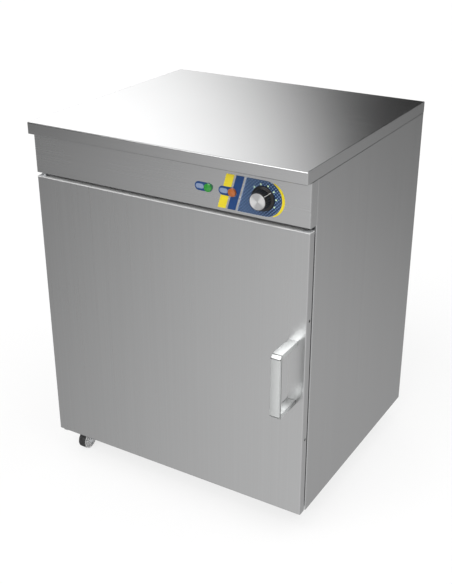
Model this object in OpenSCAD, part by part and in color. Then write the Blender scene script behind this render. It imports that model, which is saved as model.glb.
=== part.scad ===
// Plate warmer cabinet with one door, on four swivel casters.
// The origin is on the floor, at the middle of the overall box.
// +X is to the right, -Y to the front and +Z up.

/* [Cabinet] */
// Width over the side panels and the worktop
body_w = 450; // [420:1:600]
// Depth from the face of the door to the rear panel
body_d = 388; // [340:1:560]
// Height of the worktop above the floor
total_h = 570; // [500:1:900]
// Height of the underside of the cabinet above the floor
caster_h = 40; // [38:0.5:50]
// Thickness of the casing's sheet steel
sheet_t = 1; // [0.8:0.1:1.5]
// Outer radius of the folded edges
fold_r = 1.6; // [1.6:0.1:2.5]
// Width of the flanges that the side panels turn inwards
flange_w = 11; // [9:0.5:14]
// Open seam between two panels that meet without touching
seam = 0.4; // [0.2:0.1:1]

/* [Worktop] */
// Height of the worktop's folded edge
worktop_edge_h = 17.5; // [14:0.5:40]
// How far the worktop stands out in front of the fascia
worktop_overhang = 12; // [6:0.5:20]
// Width of the hem that the folded edge turns inwards
worktop_hem = 12; // [12:0.5:20]

/* [Control fascia] */
// Height of the fascia
fascia_h = 61; // [60:1:90]
// Depth of the fascia's upper and lower hems
fascia_hem = 11; // [8:0.5:13]
// Thickness of the printed film on the fascia
film_t = 0.2; // [0.1:0.05:0.4]
// Height of the printed dial field
film_h = 48.5; // [44:0.5:52]
// Width of each slanted stripe beside the dial field
stripe_w = 12; // [8:0.5:14]
// How far the stripes lean to the right over their height
stripe_lean = 14; // [6:0.5:20]

/* [Knob and lamps] */
// Distance of the knob and the lamps below the worktop's folded edge
control_drop = 31.8; // [28:0.1:34]
// Distance from the right-hand side to the middle of the knob
knob_inset = 68.2; // [60:0.1:100]
// Distance from the knob to the amber lamp
amber_reach = 45.8; // [44:0.1:60]
// Distance between the two lamps
lamp_pitch = 37; // [32:0.5:60]
// Diameter of a lamp's lens
lens_d = 11.6; // [10:0.1:14]
// Height of the lens above its film
lens_h = 3.4; // [2:0.1:5]
// Diameter of a lamp's neck through the fascia
lamp_neck_d = 9.6; // [7:0.1:9.8]
// Depth of a lamp's holder behind the fascia
holder_d = 22; // [14:1:34]
// Diameter of the thermostat's shaft
shaft_d = 6; // [5:0.5:8]
// Diameter of the knob's skirt
skirt_d = 34; // [30:0.5:38]
// Thickness of the knob's skirt
skirt_t = 2.4; // [1.8:0.1:4]
// Diameter of the knob's grip at the skirt
grip_base_d = 27; // [25:0.1:29]
// Diameter of the knob's grip at its face
grip_face_d = 24.8; // [24:0.1:25]
// Distance from the fascia to the knob's face
knob_h = 16; // [13:0.5:24]
// Gap between the film and the knob's skirt
knob_gap = 0.6; // [0.4:0.1:1.2]
// Number of flutes round the grip
flutes = 24; // [16:2:30]
// Diameter of the metal cap in the knob's face
cap_d = 22.6; // [18:0.1:22.8]
// Side of the thermostat's square case
thermostat_w = 38; // [30:1:42]

/* [Door] */
// Thickness of the door
door_t = 12.8; // [12:0.1:20]
// Space between the closed door and the cabinet, filled by the gasket
seal_gap = 5.2; // [4.6:0.1:7]
// Gap between the fascia and the door
door_top_gap = 5.5; // [5:0.1:8]
// Gap between the cabinet's underside and the door's lower edge
door_bottom_gap = 2.6; // [2.6:0.1:5]
// Distance of the rivets above and below the door's middle
rivet_rise = 94; // [60:1:150]
// Diameter of a rivet
rivet_d = 4.2; // [3:0.1:5]
// Width of the gasket's foot
gasket_w = 9; // [7:0.5:12]

/* [Hinge] */
// Distance of the pivot behind the door's face
pivot_depth = 5.8; // [5.4:0.1:6.2]
// Gap that the door's rear corner keeps to the cabinet as it swings
swing_gap = 0.3; // [0.2:0.05:0.8]
// Diameter of the hinge pins
pin_d = 5; // [4:0.1:5.4]
// Thickness of the hinge brackets
bracket_t = 2; // [1.6:0.1:2.2]
// Width of a bracket's tongue
bracket_w = 9.2; // [8:0.1:10]
// Length of a hinge pin inside its corner block
pin_reach = 8; // [5:0.5:9]
// Height of the corner blocks of the door
block_h = 11; // [10:0.5:16]
// Clearance all round a shaft or pin that turns in its bore
running_gap = 0.05; // [0.02:0.01:0.1]

/* [Handle] */
// Width of the handle's bar
handle_w = 14.4; // [12:0.1:20]
// Thickness of the handle's bar
handle_t = 6.8; // [5:0.1:9]
// Height of the handle
handle_h = 98.6; // [80:0.1:180]
// How far the handle stands out from the door
handle_proj = 50; // [34:0.5:60]
// Chamfer of the handle's outer corners
handle_chamfer = 5; // [2:0.1:6]
// Distance from the door's right-hand edge to the middle of the handle
handle_inset = 19.7; // [18:0.1:60]
// Height of the handle's middle above the door's middle
handle_rise = 14.2; // [-60:0.1:60]

/* [Cavity] */
// Thickness of the insulated side walls
side_wall = 28; // [24:1:40]
// Thickness of the insulated rear wall
rear_wall = 30; // [26:1:50]
// Thickness of the insulated floor
floor_wall = 28; // [24:1:50]
// How far the door laps over the cavity's upper edge
mouth_lap = 20; // [18:0.5:30]
// Depth of the collar round the cavity's mouth
collar_d = 12; // [10:1:20]
// Radius of the mouth's corners
mouth_r = 3; // [2:0.5:6]
// Thickness of the cavity's lining
liner_t = 0.8; // [0.6:0.1:1.2]
// Thickness of the mineral wool over the ceiling
ceiling_wool = 20; // [16:1:22]

/* [Shelf] */
// Height of the shelf above the cavity's floor
shelf_h = 200; // [120:1:300]
// Diameter of the shelf's border wire
border_d = 6; // [4:0.5:8]
// Diameter of the shelf's thin wires
wire_d = 3; // [2:0.5:4]
// Number of thin wires
wires = 15; // [9:2:21]
// Gap between the shelf and the cavity's walls
shelf_gap = 3; // [1:0.5:5]
// Width of the rails that carry the shelf
rail_w = 14; // [10:0.5:20]

/* [Heater] */
// Diameter of the tubular heating element
element_d = 8; // [6:0.5:10]
// Distance between two runs of the element
element_pitch = 60; // [40:1:70]
// Height of the element above the cavity's floor
element_h = 20; // [14:1:26]
// Height of the perforated cover above the cavity's floor
cover_h = 40; // [34:1:60]
// Diameter of the cover's holes
hole_d = 9; // [5:0.5:14]
// Distance between the cover's holes
hole_pitch = 36; // [28:1:48]
// Diameter of the thermostat's bulb
bulb_d = 6; // [4:0.5:8]
// Length of the thermostat's bulb
bulb_l = 80; // [50:1:110]

/* [Cable entry] */
// Distance from the left-hand side panel to the cable gland
gland_inset = 72; // [50:1:100]
// Bore of the cable gland
gland_bore_d = 8.5; // [6:0.1:10]
// Diameter of the gland's threaded neck
gland_neck_d = 15; // [14:0.5:20]
// How far the gland stands out of the rear panel
gland_reach = 14; // [10:0.5:24]

/* [Casters] */
// Diameter of a wheel
wheel_d = 30; // [26:0.5:32]
// Width of a wheel
wheel_w = 13.5; // [12:0.5:18]
// Thickness of a wheel's tyre
tyre_t = 1; // [0.8:0.1:4]
// Diameter of a wheel's axle
axle_d = 5; // [4:0.1:6]
// Distance from a caster's swivel axis to its axle
trail = 15; // [12:0.5:16]
// Side of a caster's square plate
plate_w = 32; // [32:0.5:36]
// Thickness of a caster's plate
plate_t = 1.5; // [1.2:0.1:2]
// Gap between a caster's plate and the lower hinge bracket
plate_gap = 4.6; // [0.6:0.1:12]
// Distance from the front frame to the front casters' plates
plate_setback = 10; // [2:0.5:30]
// Thickness of a caster's fork
fork_t = 1.5; // [1.2:0.1:2]
// Diameter of a caster's king pin
king_d = 6; // [5:0.1:8]
// Distance from a caster's axis to the bolts, along both sides of its plate
bolt_offset = 12; // [11.5:0.1:12.5]

/* [Hidden] */
$fn = 48;
eps = 0.5;

steel = [0.72, 0.73, 0.74];
bright_steel = [0.8, 0.81, 0.82];
zinc = [0.66, 0.67, 0.68];
wool = [0.78, 0.72, 0.5];
black = [0.07, 0.07, 0.07];

// Main planes of the cabinet
front_y = (handle_proj - body_d - gland_reach) / 2;
rear_y = front_y + body_d;
side_x = body_w / 2;
panel_top = total_h - worktop_edge_h;
fascia_z0 = panel_top - fascia_h;
door_z1 = fascia_z0 - door_top_gap;
door_z0 = caster_h + door_bottom_gap;
door_h = door_z1 - door_z0;
door_mid = (door_z0 + door_z1) / 2;
door_back = front_y + door_t;
frame_y = door_back + seal_gap;
frame_x = side_x - flange_w;
frame_hem = 5;
frame_top = fascia_z0 + 7;
control_z = panel_top - control_drop;
knob_x = side_x - knob_inset;

// The cavity, first at its mouth and then at its lining
cavity_x = side_x - side_wall;
cavity_z0 = caster_h + floor_wall;
cavity_z1 = door_z1 - mouth_lap;
cavity_y1 = rear_y - rear_wall;
liner_x = cavity_x + sheet_t;
liner_z0 = cavity_z0 - sheet_t;
liner_z1 = cavity_z1 + sheet_t;
liner_y0 = frame_y + sheet_t;
liner_r = mouth_r + sheet_t;
liner_hem = 10;
base_hem = floor_wall - sheet_t - liner_hem - 1;

// The hinge axis is set in from the door's edge as far as the swinging corner allows
corner_reach = door_t + seal_gap - swing_gap - pivot_depth;
pivot_inset = sqrt(pow(corner_reach, 2) - pow(door_t - pivot_depth, 2));
pivot_x = -side_x + pivot_inset;
pivot_y = front_y + pivot_depth;
collar_h = 1.2;
collar_od = bracket_w - 0.8;
block_w = pivot_inset - sheet_t + collar_od / 2 + 0.2;
pin_head_d = pin_d + 2;
pin_head_h = 0.8;
tongue_z0 = door_z1 + collar_h;
strip_w = 10.4;
strip_l = 44;

// The handle
handle_x = side_x - handle_inset;
handle_mid = door_mid + handle_rise;
handle_screw_d = 4;
handle_screw_reach = 8;

// The casters: their swivel axes and the levels of their parts
wheel_r = wheel_d / 2;
caster_x = side_x - sheet_t - strip_w - plate_gap - plate_w / 2;
caster_front_y = frame_y + plate_setback + plate_w / 2;
caster_rear_y = rear_y - 6 - plate_w / 2;
race_t = 1.6;
race_d = 21;
race_gap = 0.1;
crown_z = caster_h - plate_t - race_t - race_gap;
leg_x = wheel_w / 2 + 1.2;
boss_r = axle_d / 2 + 2.6;
crown_reach = trail + 1;
bolt_d = 4;
bolt_head_d = 7;

// A rectangle w wide and d high that hangs from y = 0, with its two upper corners rounded
module hanging_section(w, d, r) {
    translate([-w / 2, -d])
        square([w, d - r]);
    translate([r - w / 2, -r])
        square([w - 2 * r, r]);
    for (s = [-1, 1])
        translate([s * (w / 2 - r), -r])
            circle(r);
}

// A block w by h with its face at z = 0 and d deep below it, the face's edges rounded
module blank(w, h, d, r) {
    intersection() {
        rotate([90, 0, 0])
            linear_extrude(h, center = true)
                hanging_section(w, d, r);
        rotate([90, 0, 90])
            linear_extrude(w, center = true)
                hanging_section(h, d, r);
    }
}

// A folded sheet pan: a face w by h at z = 0 with walls d deep all round
module pan(w, h, d, t, r) {
    difference() {
        blank(w, h, d, r);
        translate([0, 0, -t])
            blank(w - 2 * t, h - 2 * t, d, r - t);
    }
}

// A block w by h by d, centred, with all its edges rounded
module soft_block(w, h, d, r) {
    intersection() {
        linear_extrude(d, center = true)
            rounded(w, h, r);
        rotate([90, 0, 0])
            linear_extrude(h, center = true)
                rounded(w, d, r);
        rotate([90, 0, 90])
            linear_extrude(w, center = true)
                rounded(h, d, r);
    }
}

// A rectangle w by h, centred, with round corners
module rounded(w, h, r) {
    square([w - 2 * r, h], center = true);
    square([w, h - 2 * r], center = true);
    for (x = [-1, 1], y = [-1, 1])
        translate([x * (w / 2 - r), y * (h / 2 - r)])
            circle(r);
}

// A slot l long and w wide along X, with round ends
module slot(l, w) {
    square([l - w, w], center = true);
    for (s = [-1, 1])
        translate([s * (l - w) / 2, 0])
            circle(w / 2);
}

// Puts a form drawn in X and Y into X and Z, with its thickness towards +Y
module upright() {
    rotate([90, 0, 0])
        mirror([0, 0, 1])
            children();
}

// A cylinder along Y that starts at the origin and runs towards +Y
module along_y(d, l) {
    rotate([-90, 0, 0])
        cylinder(d = d, h = l);
}

// A quarter of a folded corner in plan, round the origin, its outside to -X and -Y
module fold(r, t) {
    intersection() {
        difference() {
            circle(r);
            circle(r - t);
        }
        translate([-r, -r])
            square(r);
    }
}

// ---- Casing ----

// A shallow box folded from one sheet, open below inside its hems
module worktop() {
    depth = worktop_overhang + body_d;
    front_hem = worktop_overhang + fascia_hem;
    color(steel)
        translate([0, rear_y - depth / 2, total_h - worktop_edge_h / 2])
            difference() {
                soft_block(body_w, depth, worktop_edge_h, fold_r);
                soft_block(body_w - 2 * sheet_t, depth - 2 * sheet_t,
                           worktop_edge_h - 2 * sheet_t, fold_r - sheet_t);
                translate([worktop_hem - side_x, front_hem - depth / 2, -worktop_edge_h])
                    cube([body_w - 2 * worktop_hem, depth - front_hem - worktop_hem, worktop_edge_h]);
            }
}

module side_panel(side) {
    panel_d = rear_y - sheet_t - frame_y;
    color(steel)
        mirror([side > 0 ? 1 : 0, 0, 0])
            difference() {
                translate([-side_x, frame_y, 0]) {
                    translate([0, 0, caster_h])
                        linear_extrude(panel_top - caster_h)
                            side_section(panel_d);
                    translate([sheet_t, fold_r, panel_top - sheet_t])
                        cube([flange_w - sheet_t, panel_d - 2 * fold_r, sheet_t]);
                }
                for (z = screw_heights())
                    translate([screw_inset - side_x, rear_y - 3 * sheet_t, z])
                        along_y(screw_d + 0.2, 3 * sheet_t);
            }
}

// The side panel in plan: its sheet with the folds and flanges at the front and the rear
module side_section(d) {
    translate([0, fold_r])
        square([sheet_t, d - 2 * fold_r]);
    for (end = [0, 1])
        translate([0, end * d])
            mirror([0, end]) {
                translate([fold_r, fold_r])
                    fold(fold_r, sheet_t);
                translate([fold_r, 0])
                    square([flange_w - fold_r, sheet_t]);
            }
}

module side_panel_left() {
    side_panel(-1);
}

module side_panel_right() {
    side_panel(1);
}

panel_edge = 3;
screw_d = 3.5;
screw_head_d = 7.5;
screw_inset = 7;
screw_rows = 5;
screw_margin = 20;
vent_l = 34;
vent_w = 4;
vent_pitch = 11;
vents = 19;
gland_x = gland_inset - side_x;
gland_z = control_z;
terminal_reach = 46;
terminal_x = gland_x + terminal_reach;
terminal_w = 44;
vent_x = terminal_x + terminal_w + 4;

// The heights of the rear panel's screws
function screw_heights() = [
    for (k = [0 : screw_rows - 1])
        caster_h + screw_margin + k * (panel_top - caster_h - 2 * screw_margin) / (screw_rows - 1)
];

module rear_panel() {
    h = panel_top - caster_h - 2 * seam;
    color(steel)
        difference() {
            translate([0, rear_y - sheet_t, caster_h + seam + h / 2])
                upright()
                    linear_extrude(sheet_t)
                        rounded(body_w - 2 * panel_edge, h, 2);
            for (k = [0 : vents - 1])
                translate([vent_x + k * vent_pitch, rear_y, control_z])
                    rotate([90, 0, 0])
                        linear_extrude(4 * sheet_t, center = true)
                            rotate(90)
                                slot(vent_l, vent_w);
            for (s = [-1, 1], z = screw_heights())
                translate([s * (side_x - screw_inset), rear_y - 2 * sheet_t, z])
                    along_y(screw_d + 0.2, 3 * sheet_t);
            translate([gland_x, rear_y - 2 * sheet_t, gland_z])
                along_y(gland_neck_d + 0.2, 3 * sheet_t);
        }
}

// The base stays clear of the folds at the side panels' ends
module base_pan() {
    w = body_w - 2 * sheet_t;
    y0 = frame_y + fold_r;
    d = rear_y - sheet_t - fold_r - y0;
    color(zinc)
        difference() {
            translate([0, y0 + d / 2, caster_h])
                rotate([180, 0, 0])
                    pan(w, d, base_hem, sheet_t, fold_r);
            for (p = caster_places(), x = [-1, 1], y = [-1, 1])
                translate([p[0] + x * bolt_offset, p[1] + y * bolt_offset, caster_h - eps])
                    cylinder(d = bolt_d + 0.3, h = sheet_t + 2 * eps);
            for (y = strip_screws())
                translate([strip_screw_x, y, caster_h - eps])
                    cylinder(d = screw_d + 0.2, h = sheet_t + 2 * eps);
        }
}

module panel_screws() {
    color(bright_steel) {
        for (s = [-1, 1], z = screw_heights())
            translate([s * (side_x - screw_inset), rear_y, z])
                rotate([-90, 0, 0])
                    pan_head_screw(screw_d, screw_head_d, 2.2, 2 * sheet_t + 3);
        for (y = strip_screws())
            translate([strip_screw_x, y, caster_h - bracket_t])
                rotate([180, 0, 0])
                    pan_head_screw(screw_d, 6.4, 1.4, bracket_t + sheet_t + 4);
    }
}

// A screw with its head on z = 0 and its shank below it, with a cross recess
module pan_head_screw(d, head_d, head_h, l) {
    difference() {
        union() {
            intersection() {
                cylinder(d = head_d, h = head_h);
                translate([0, 0, head_h - head_d])
                    sphere(head_d);
            }
            translate([0, 0, -l])
                cylinder(d = d, h = l);
        }
        for (a = [0, 90])
            rotate(a)
                translate([-head_d / 4, -head_d / 20, head_h * 0.4])
                    cube([head_d / 2, head_d / 10, head_h]);
    }
}

// ---- Control fascia ----

module control_fascia() {
    side_d = door_t + seal_gap - seam;
    color(steel)
        difference() {
            translate([0, front_y, fascia_z0 + fascia_h / 2])
                rotate([90, 0, 0])
                    difference() {
                        pan(body_w, fascia_h, side_d, sheet_t, fold_r);
                        translate([-side_x + sheet_t, -fascia_h / 2 - eps, -side_d - eps])
                            cube([body_w - 2 * sheet_t, fascia_h + 2 * eps, side_d - fascia_hem + eps]);
                    }
            for (x = [amber_x, green_x])
                translate([x, front_y - eps, control_z])
                    along_y(lamp_neck_d + 0.3, sheet_t + 2 * eps);
            translate([knob_x, front_y - eps, control_z])
                along_y(neck_d + 0.4, sheet_t + 2 * eps);
        }
}

amber_x = knob_x - amber_reach;
green_x = amber_x - lamp_pitch;
neck_d = shaft_d + 4;
pill_l = 27.5;
pill_w = lens_d + 0.8;
film_gap = 0.3;

// The printed field round the knob, with a slanted left end and a round right end
module dial_outline() {
    r = film_h / 2;
    translate([knob_x + dial_shift, control_z])
        circle(r);
    polygon([
        [stripe_foot + 2 * stripe_step, control_z - r],
        [knob_x + dial_shift, control_z - r],
        [knob_x + dial_shift, control_z + r],
        [stripe_foot + 2 * stripe_step + stripe_lean, control_z + r]
    ]);
}

dial_shift = 2.8;
crescent_w = 4.2;
stripe_gap = 3;
stripe_step = stripe_w + stripe_gap;
stripe_foot = knob_x - film_h / 2 - 14.5 - 2 * stripe_step;

// Where a lamp's printed pill lies: the lamp sits in its right-hand end
module pill_outline(x, grow) {
    translate([x + pill_w / 2 - pill_l / 2, control_z])
        slot(pill_l + 2 * grow, pill_w + 2 * grow);
}

// Raises an outline drawn in X and Z to a film on the fascia's face
module film() {
    translate([0, front_y - film_t, 0])
        upright()
            linear_extrude(film_t)
                children();
}

module dial_film() {
    color([0.1, 0.27, 0.5])
        difference() {
            film() {
                difference() {
                    dial_outline();
                    pill_outline(amber_x, film_gap);
                }
                for (x = [amber_x, green_x])
                    pill_outline(x, 0);
                difference() {
                    stripe(1);
                    pill_outline(amber_x, film_gap);
                }
            }
            for (x = [amber_x, green_x])
                translate([x, front_y - 1, control_z])
                    along_y(lamp_neck_d + 0.3, 2);
            translate([knob_x, front_y - 1, control_z])
                along_y(neck_d + 0.4, 2);
        }
}

// Slanted stripe number k beside the dial field
module stripe(k) {
    x = stripe_foot + k * stripe_step;
    r = film_h / 2;
    polygon([
        [x, control_z - r],
        [x + stripe_w, control_z - r],
        [x + stripe_w + stripe_lean, control_z + r],
        [x + stripe_lean, control_z + r]
    ]);
}

module stripe_film() {
    color([0.93, 0.8, 0.1])
        film() {
            difference() {
                stripe(0);
                pill_outline(amber_x, film_gap);
            }
            difference() {
                translate([knob_x + dial_shift + crescent_w, control_z])
                    circle(film_h / 2);
                translate([knob_x + dial_shift, control_z])
                    circle(film_h / 2 + film_gap);
                translate([0, control_z - film_h])
                    square([knob_x + dial_shift + film_h / 4, 2 * film_h]);
            }
        }
}

module lens(tint, x) {
    base_h = 1.2;
    dome_r = (pow(lens_d / 2, 2) + pow(lens_h - base_h, 2)) / (2 * (lens_h - base_h));
    color(tint)
        translate([x, front_y - film_t, control_z])
            rotate([90, 0, 0]) {
                cylinder(d = lens_d, h = base_h);
                intersection() {
                    translate([0, 0, lens_h - dome_r])
                        sphere(dome_r);
                    translate([0, 0, base_h])
                        cylinder(d = lens_d, h = lens_h);
                }
                translate([0, 0, -film_t - sheet_t])
                    cylinder(d = lamp_neck_d, h = film_t + sheet_t);
            }
}

module green_lens() {
    lens([0.1, 0.62, 0.25], green_x);
}

module amber_lens() {
    lens([0.85, 0.4, 0.12], amber_x);
}

// The lamps' bodies behind the fascia, each with its spring collar and two tabs
module lamp_holders() {
    color(black)
        for (x = [green_x, amber_x])
            translate([x, front_y + sheet_t, control_z]) {
                along_y(lamp_neck_d + 4, 2);
                along_y(lamp_neck_d, holder_d - 6);
                for (s = [-1, 1])
                    translate([s * 2.6 - 0.4, 0, -2.4])
                        cube([0.8, holder_d, 4.8]);
            }
}

module thermostat_body() {
    y = front_y + sheet_t;
    color([0.55, 0.56, 0.58])
        difference() {
            union() {
                translate([knob_x, y + 1.5, control_z])
                    upright()
                        linear_extrude(thermostat_d - 1.5)
                            rounded(thermostat_w, thermostat_w, 5);
                translate([knob_x, y, control_z])
                    upright()
                        linear_extrude(1.6)
                            slot(thermostat_w + 2, 14);
                translate([knob_x, y - sheet_t, control_z])
                    along_y(neck_d, sheet_t + 2);
                for (s = [-1, 1])
                    translate([knob_x + s * 9 - 3.2, y + thermostat_d - eps, control_z - 0.4])
                        cube([6.4, 9, 0.8]);
            }
            translate([knob_x, y - 4, control_z])
                along_y(shaft_d + 2 * running_gap, 4 + shaft_in);
        }
}

shaft_in = 12;

// The capillary drops behind the mouth's collar to the bulb, which lies along the ceiling
capillary_d = 1.6;
capillary_y = frame_y + collar_d + 2.5;
capillary_r = 5;
thermostat_d = capillary_y + 2.5 - front_y - sheet_t;
bulb_x = knob_x - thermostat_w / 2 + 3;
bulb_z = liner_z1 - 10;
bulb_y0 = capillary_y + capillary_r + 6;

module thermostat_bulb() {
    bend_z = bulb_z + capillary_r;
    color([0.75, 0.45, 0.25]) {
        translate([bulb_x, capillary_y, bend_z])
            cylinder(d = capillary_d, h = control_z - thermostat_w / 2 - bend_z);
        translate([bulb_x, capillary_y + capillary_r, bend_z])
            rotate([90, 0, 90])
                rotate(180)
                    rotate_extrude(angle = 90)
                        translate([capillary_r, 0])
                            circle(d = capillary_d);
        translate([bulb_x, capillary_y + capillary_r, bulb_z])
            along_y(capillary_d, 7);
        translate([bulb_x, bulb_y0, bulb_z])
            rotate([-90, 0, 0]) {
                cylinder(d1 = capillary_d, d2 = bulb_d, h = 4);
                translate([0, 0, 4])
                    cylinder(d = bulb_d, h = bulb_l - 4);
                translate([0, 0, bulb_l])
                    cylinder(d1 = bulb_d, d2 = bulb_d / 2, h = 2);
            }
    }
}

// A row of four screw terminals on the inside of the rear panel
module terminal_block() {
    poles = 4;
    pitch = terminal_w / poles;
    d = 18;
    h = 15;
    color([0.88, 0.87, 0.82])
        translate([terminal_x, rear_y - sheet_t - d, gland_z - h / 2])
            difference() {
                union() {
                    cube([terminal_w, d, h * 0.6]);
                    for (k = [0 : poles - 1])
                        translate([k * pitch + 1, 2, 0])
                            cube([pitch - 2, d - 4, h]);
                }
                for (k = [0 : poles - 1])
                    translate([(k + 0.5) * pitch, 0, 0]) {
                        translate([0, d / 2, h - 6])
                            cylinder(d = 5, h = 7);
                        translate([0, -eps, h * 0.35])
                            along_y(4, d / 3);
                    }
            }
}

// ---- Cable entry ----

module cable_gland() {
    bore = gland_bore_d / 2;
    neck = gland_neck_d / 2;
    color(black)
        translate([gland_x, rear_y, gland_z])
            rotate([-90, 0, 0])
                rotate_extrude()
                    polygon([
                        [bore, -12],
                        [neck, -12],
                        [neck, 0],
                        [neck + 3.5, 0],
                        [neck + 3.5, 2],
                        [neck + 1.5, 3],
                        [neck + 1.5, gland_reach - 3],
                        [bore + 2, gland_reach],
                        [bore, gland_reach]
                    ]);
}

module gland_nut() {
    color(black)
        translate([gland_x, rear_y - sheet_t - 5, gland_z])
            difference() {
                rotate([-90, 0, 0])
                    cylinder(d = gland_neck_d + 8, h = 5, $fn = 6);
                translate([0, -1, 0])
                    along_y(gland_neck_d + 0.04, 7);
            }
}

// ---- Front frame and cavity ----

module front_frame() {
    mouth_w = 2 * cavity_x;
    mouth_h = cavity_z1 - cavity_z0;
    mouth_mid = (cavity_z0 + cavity_z1) / 2;
    hem_z0 = caster_h + base_hem + 1;
    color(steel)
        difference() {
            union() {
                translate([-frame_x, frame_y, caster_h])
                    cube([2 * frame_x, sheet_t, frame_top - caster_h]);
                for (s = [-1, 1])
                    translate([s * (frame_x - sheet_t / 2) - sheet_t / 2, frame_y, hem_z0])
                        cube([sheet_t, frame_hem, frame_top - hem_z0]);
                translate([-frame_x, frame_y, frame_top - sheet_t])
                    cube([2 * frame_x, frame_hem, sheet_t]);
                translate([0, frame_y, mouth_mid])
                    upright()
                        linear_extrude(collar_d)
                            rounded(mouth_w + 2 * sheet_t, mouth_h + 2 * sheet_t, liner_r);
            }
            translate([0, frame_y - eps, mouth_mid])
                upright()
                    linear_extrude(collar_d + 2 * eps)
                        rounded(mouth_w, mouth_h, mouth_r);
        }
}

// The lining's side walls and ceiling, folded from one sheet
module liner_wrap() {
    h = liner_z1 - liner_z0 + liner_hem;
    color(bright_steel)
        difference() {
            translate([0, liner_y0, liner_z1])
                upright()
                    linear_extrude(cavity_y1 + liner_hem - liner_y0)
                        difference() {
                            translate([0, liner_t])
                                hanging_section(2 * (liner_x + liner_t), h + liner_t, liner_r + liner_t);
                            hanging_section(2 * liner_x, h + eps, liner_r);
                        }
            translate([bulb_x, capillary_y, liner_z1 - eps])
                cylinder(d = capillary_d + 1.4, h = 2 * eps + liner_t);
        }
}

module liner_rear() {
    h = liner_z1 - liner_z0 + liner_hem;
    color(bright_steel)
        difference() {
            translate([0, cavity_y1, liner_z1])
                upright()
                    difference() {
                        linear_extrude(liner_hem)
                            hanging_section(2 * liner_x, h, liner_r);
                        translate([0, -liner_t, liner_t])
                            linear_extrude(liner_hem)
                                hanging_section(2 * (liner_x - liner_t), h, liner_r - liner_t);
                    }
            for (s = [-1, 1])
                translate([s * 1.5 * element_pitch, cavity_y1 - eps, element_z])
                    along_y(element_d + 1, liner_t + 2 * eps);
        }
}

module liner_floor() {
    d = cavity_y1 - liner_y0;
    color(bright_steel)
        translate([0, liner_y0 + d / 2, liner_z0])
            pan(2 * liner_x, d, liner_hem, liner_t, liner_t + 0.6);
}

// Slabs of mineral wool between the lining and the casing
module wall_insulation() {
    inner_x = liner_x + liner_t;
    outer_x = side_x - sheet_t;
    y0 = frame_y + frame_hem;
    y1 = rear_y - 2 * sheet_t - 4;
    z0 = caster_h + base_hem;
    slab_top = liner_z1 + liner_t + ceiling_wool;
    rear_x = liner_x - liner_t;
    color(wool) {
        for (s = [-1, 1])
            translate([s * (inner_x + outer_x) / 2 - (outer_x - inner_x) / 2, y0, z0])
                cube([outer_x - inner_x, y1 - y0, slab_top - z0]);
        difference() {
            translate([-rear_x, cavity_y1 + liner_t, liner_z0 - liner_hem])
                cube([2 * rear_x, y1 - cavity_y1 - liner_t, liner_z1 - liner_r - liner_z0 + liner_hem]);
            for (s = [-1, 1])
                translate([s * 1.5 * element_pitch, cavity_y1 - eps, element_z])
                    along_y(element_d + 8, rear_wall);
        }
        difference() {
            translate([-inner_x, y0, liner_z1 + liner_t])
                cube([2 * inner_x, y1 - y0, ceiling_wool]);
            translate([bulb_x, capillary_y, liner_z1])
                cylinder(d = capillary_d + 4, h = ceiling_wool + 4);
        }
    }
}

// ---- Shelf ----

shelf_z = liner_z0 + shelf_h;
shelf_half_w = liner_x - shelf_gap;
shelf_y0 = liner_y0 + collar_d + 2;
shelf_y1 = cavity_y1 - 3;
rail_t = 1.2;

module shelf_rails() {
    l = shelf_y1 - shelf_y0;
    color(bright_steel)
        for (s = [0, 1])
            mirror([s, 0, 0])
                translate([-liner_x, shelf_y0, shelf_z]) {
                    translate([0, 0, -rail_t])
                        cube([rail_w, l, rail_t]);
                    translate([0, 0, -rail_w])
                        cube([rail_t, l, rail_w]);
                }
}

module wire_shelf() {
    r = border_d / 2;
    bend = 14;
    x = shelf_half_w - r;
    y0 = shelf_y0 + r;
    y1 = shelf_y1 - r;
    pitch = 2 * (x - r) / (wires + 1);
    color([0.85, 0.86, 0.87])
        translate([0, 0, shelf_z + r]) {
            for (s = [-1, 1]) {
                translate([s * x, y0 + bend, 0])
                    along_y(border_d, y1 - y0 - 2 * bend);
                translate([-x + bend, s > 0 ? y1 : y0, 0])
                    rotate([0, 90, 0])
                        cylinder(d = border_d, h = 2 * (x - bend));
            }
            for (c = [[x, y1, 0], [-x, y1, 90], [-x, y0, 180], [x, y0, 270]])
                translate([c[0] - sign(c[0]) * bend, c[1] - sign(c[1] - (y0 + y1) / 2) * bend, 0])
                    rotate(c[2])
                        rotate_extrude(angle = 90)
                            translate([bend, 0])
                                circle(d = border_d);
            for (k = [1 : 2])
                translate([-x, y0 + k * (y1 - y0) / 3, 0])
                    rotate([0, 90, 0])
                        cylinder(d = border_d - 1, h = 2 * x);
            for (k = [1 : wires])
                translate([-x + r + k * pitch, y0, (border_d - 1) / 2 + wire_d / 2 - 0.6])
                    along_y(wire_d, y1 - y0);
        }
}

// ---- Heater ----

element_z = liner_z0 + element_h;
element_y0 = liner_y0 + collar_d + 30 + element_pitch / 2;
element_y1 = cavity_y1 - 26 - element_pitch / 2;

// One tube with four runs: three bends join them, and its two ends leave through the rear wall
module heating_element() {
    end_l = 16;
    color([0.35, 0.36, 0.38])
        translate([0, 0, element_z]) {
            for (k = [-1, 1]) {
                translate([k * 1.5 * element_pitch, element_y0, 0])
                    along_y(element_d, cavity_y1 + end_l - element_y0);
                translate([k * element_pitch / 2, element_y0, 0])
                    along_y(element_d, element_y1 - element_y0);
                translate([k * element_pitch, element_y0, 0])
                    rotate(180)
                        half_bend();
                translate([k * 1.5 * element_pitch, cavity_y1 + end_l, 0])
                    along_y(3, 5);
            }
            translate([0, element_y1, 0])
                half_bend();
        }
}

module half_bend() {
    rotate_extrude(angle = 180)
        translate([element_pitch / 2, 0])
            circle(d = element_d);
}

clip_y = (element_y0 + element_y1) / 2;

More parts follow.
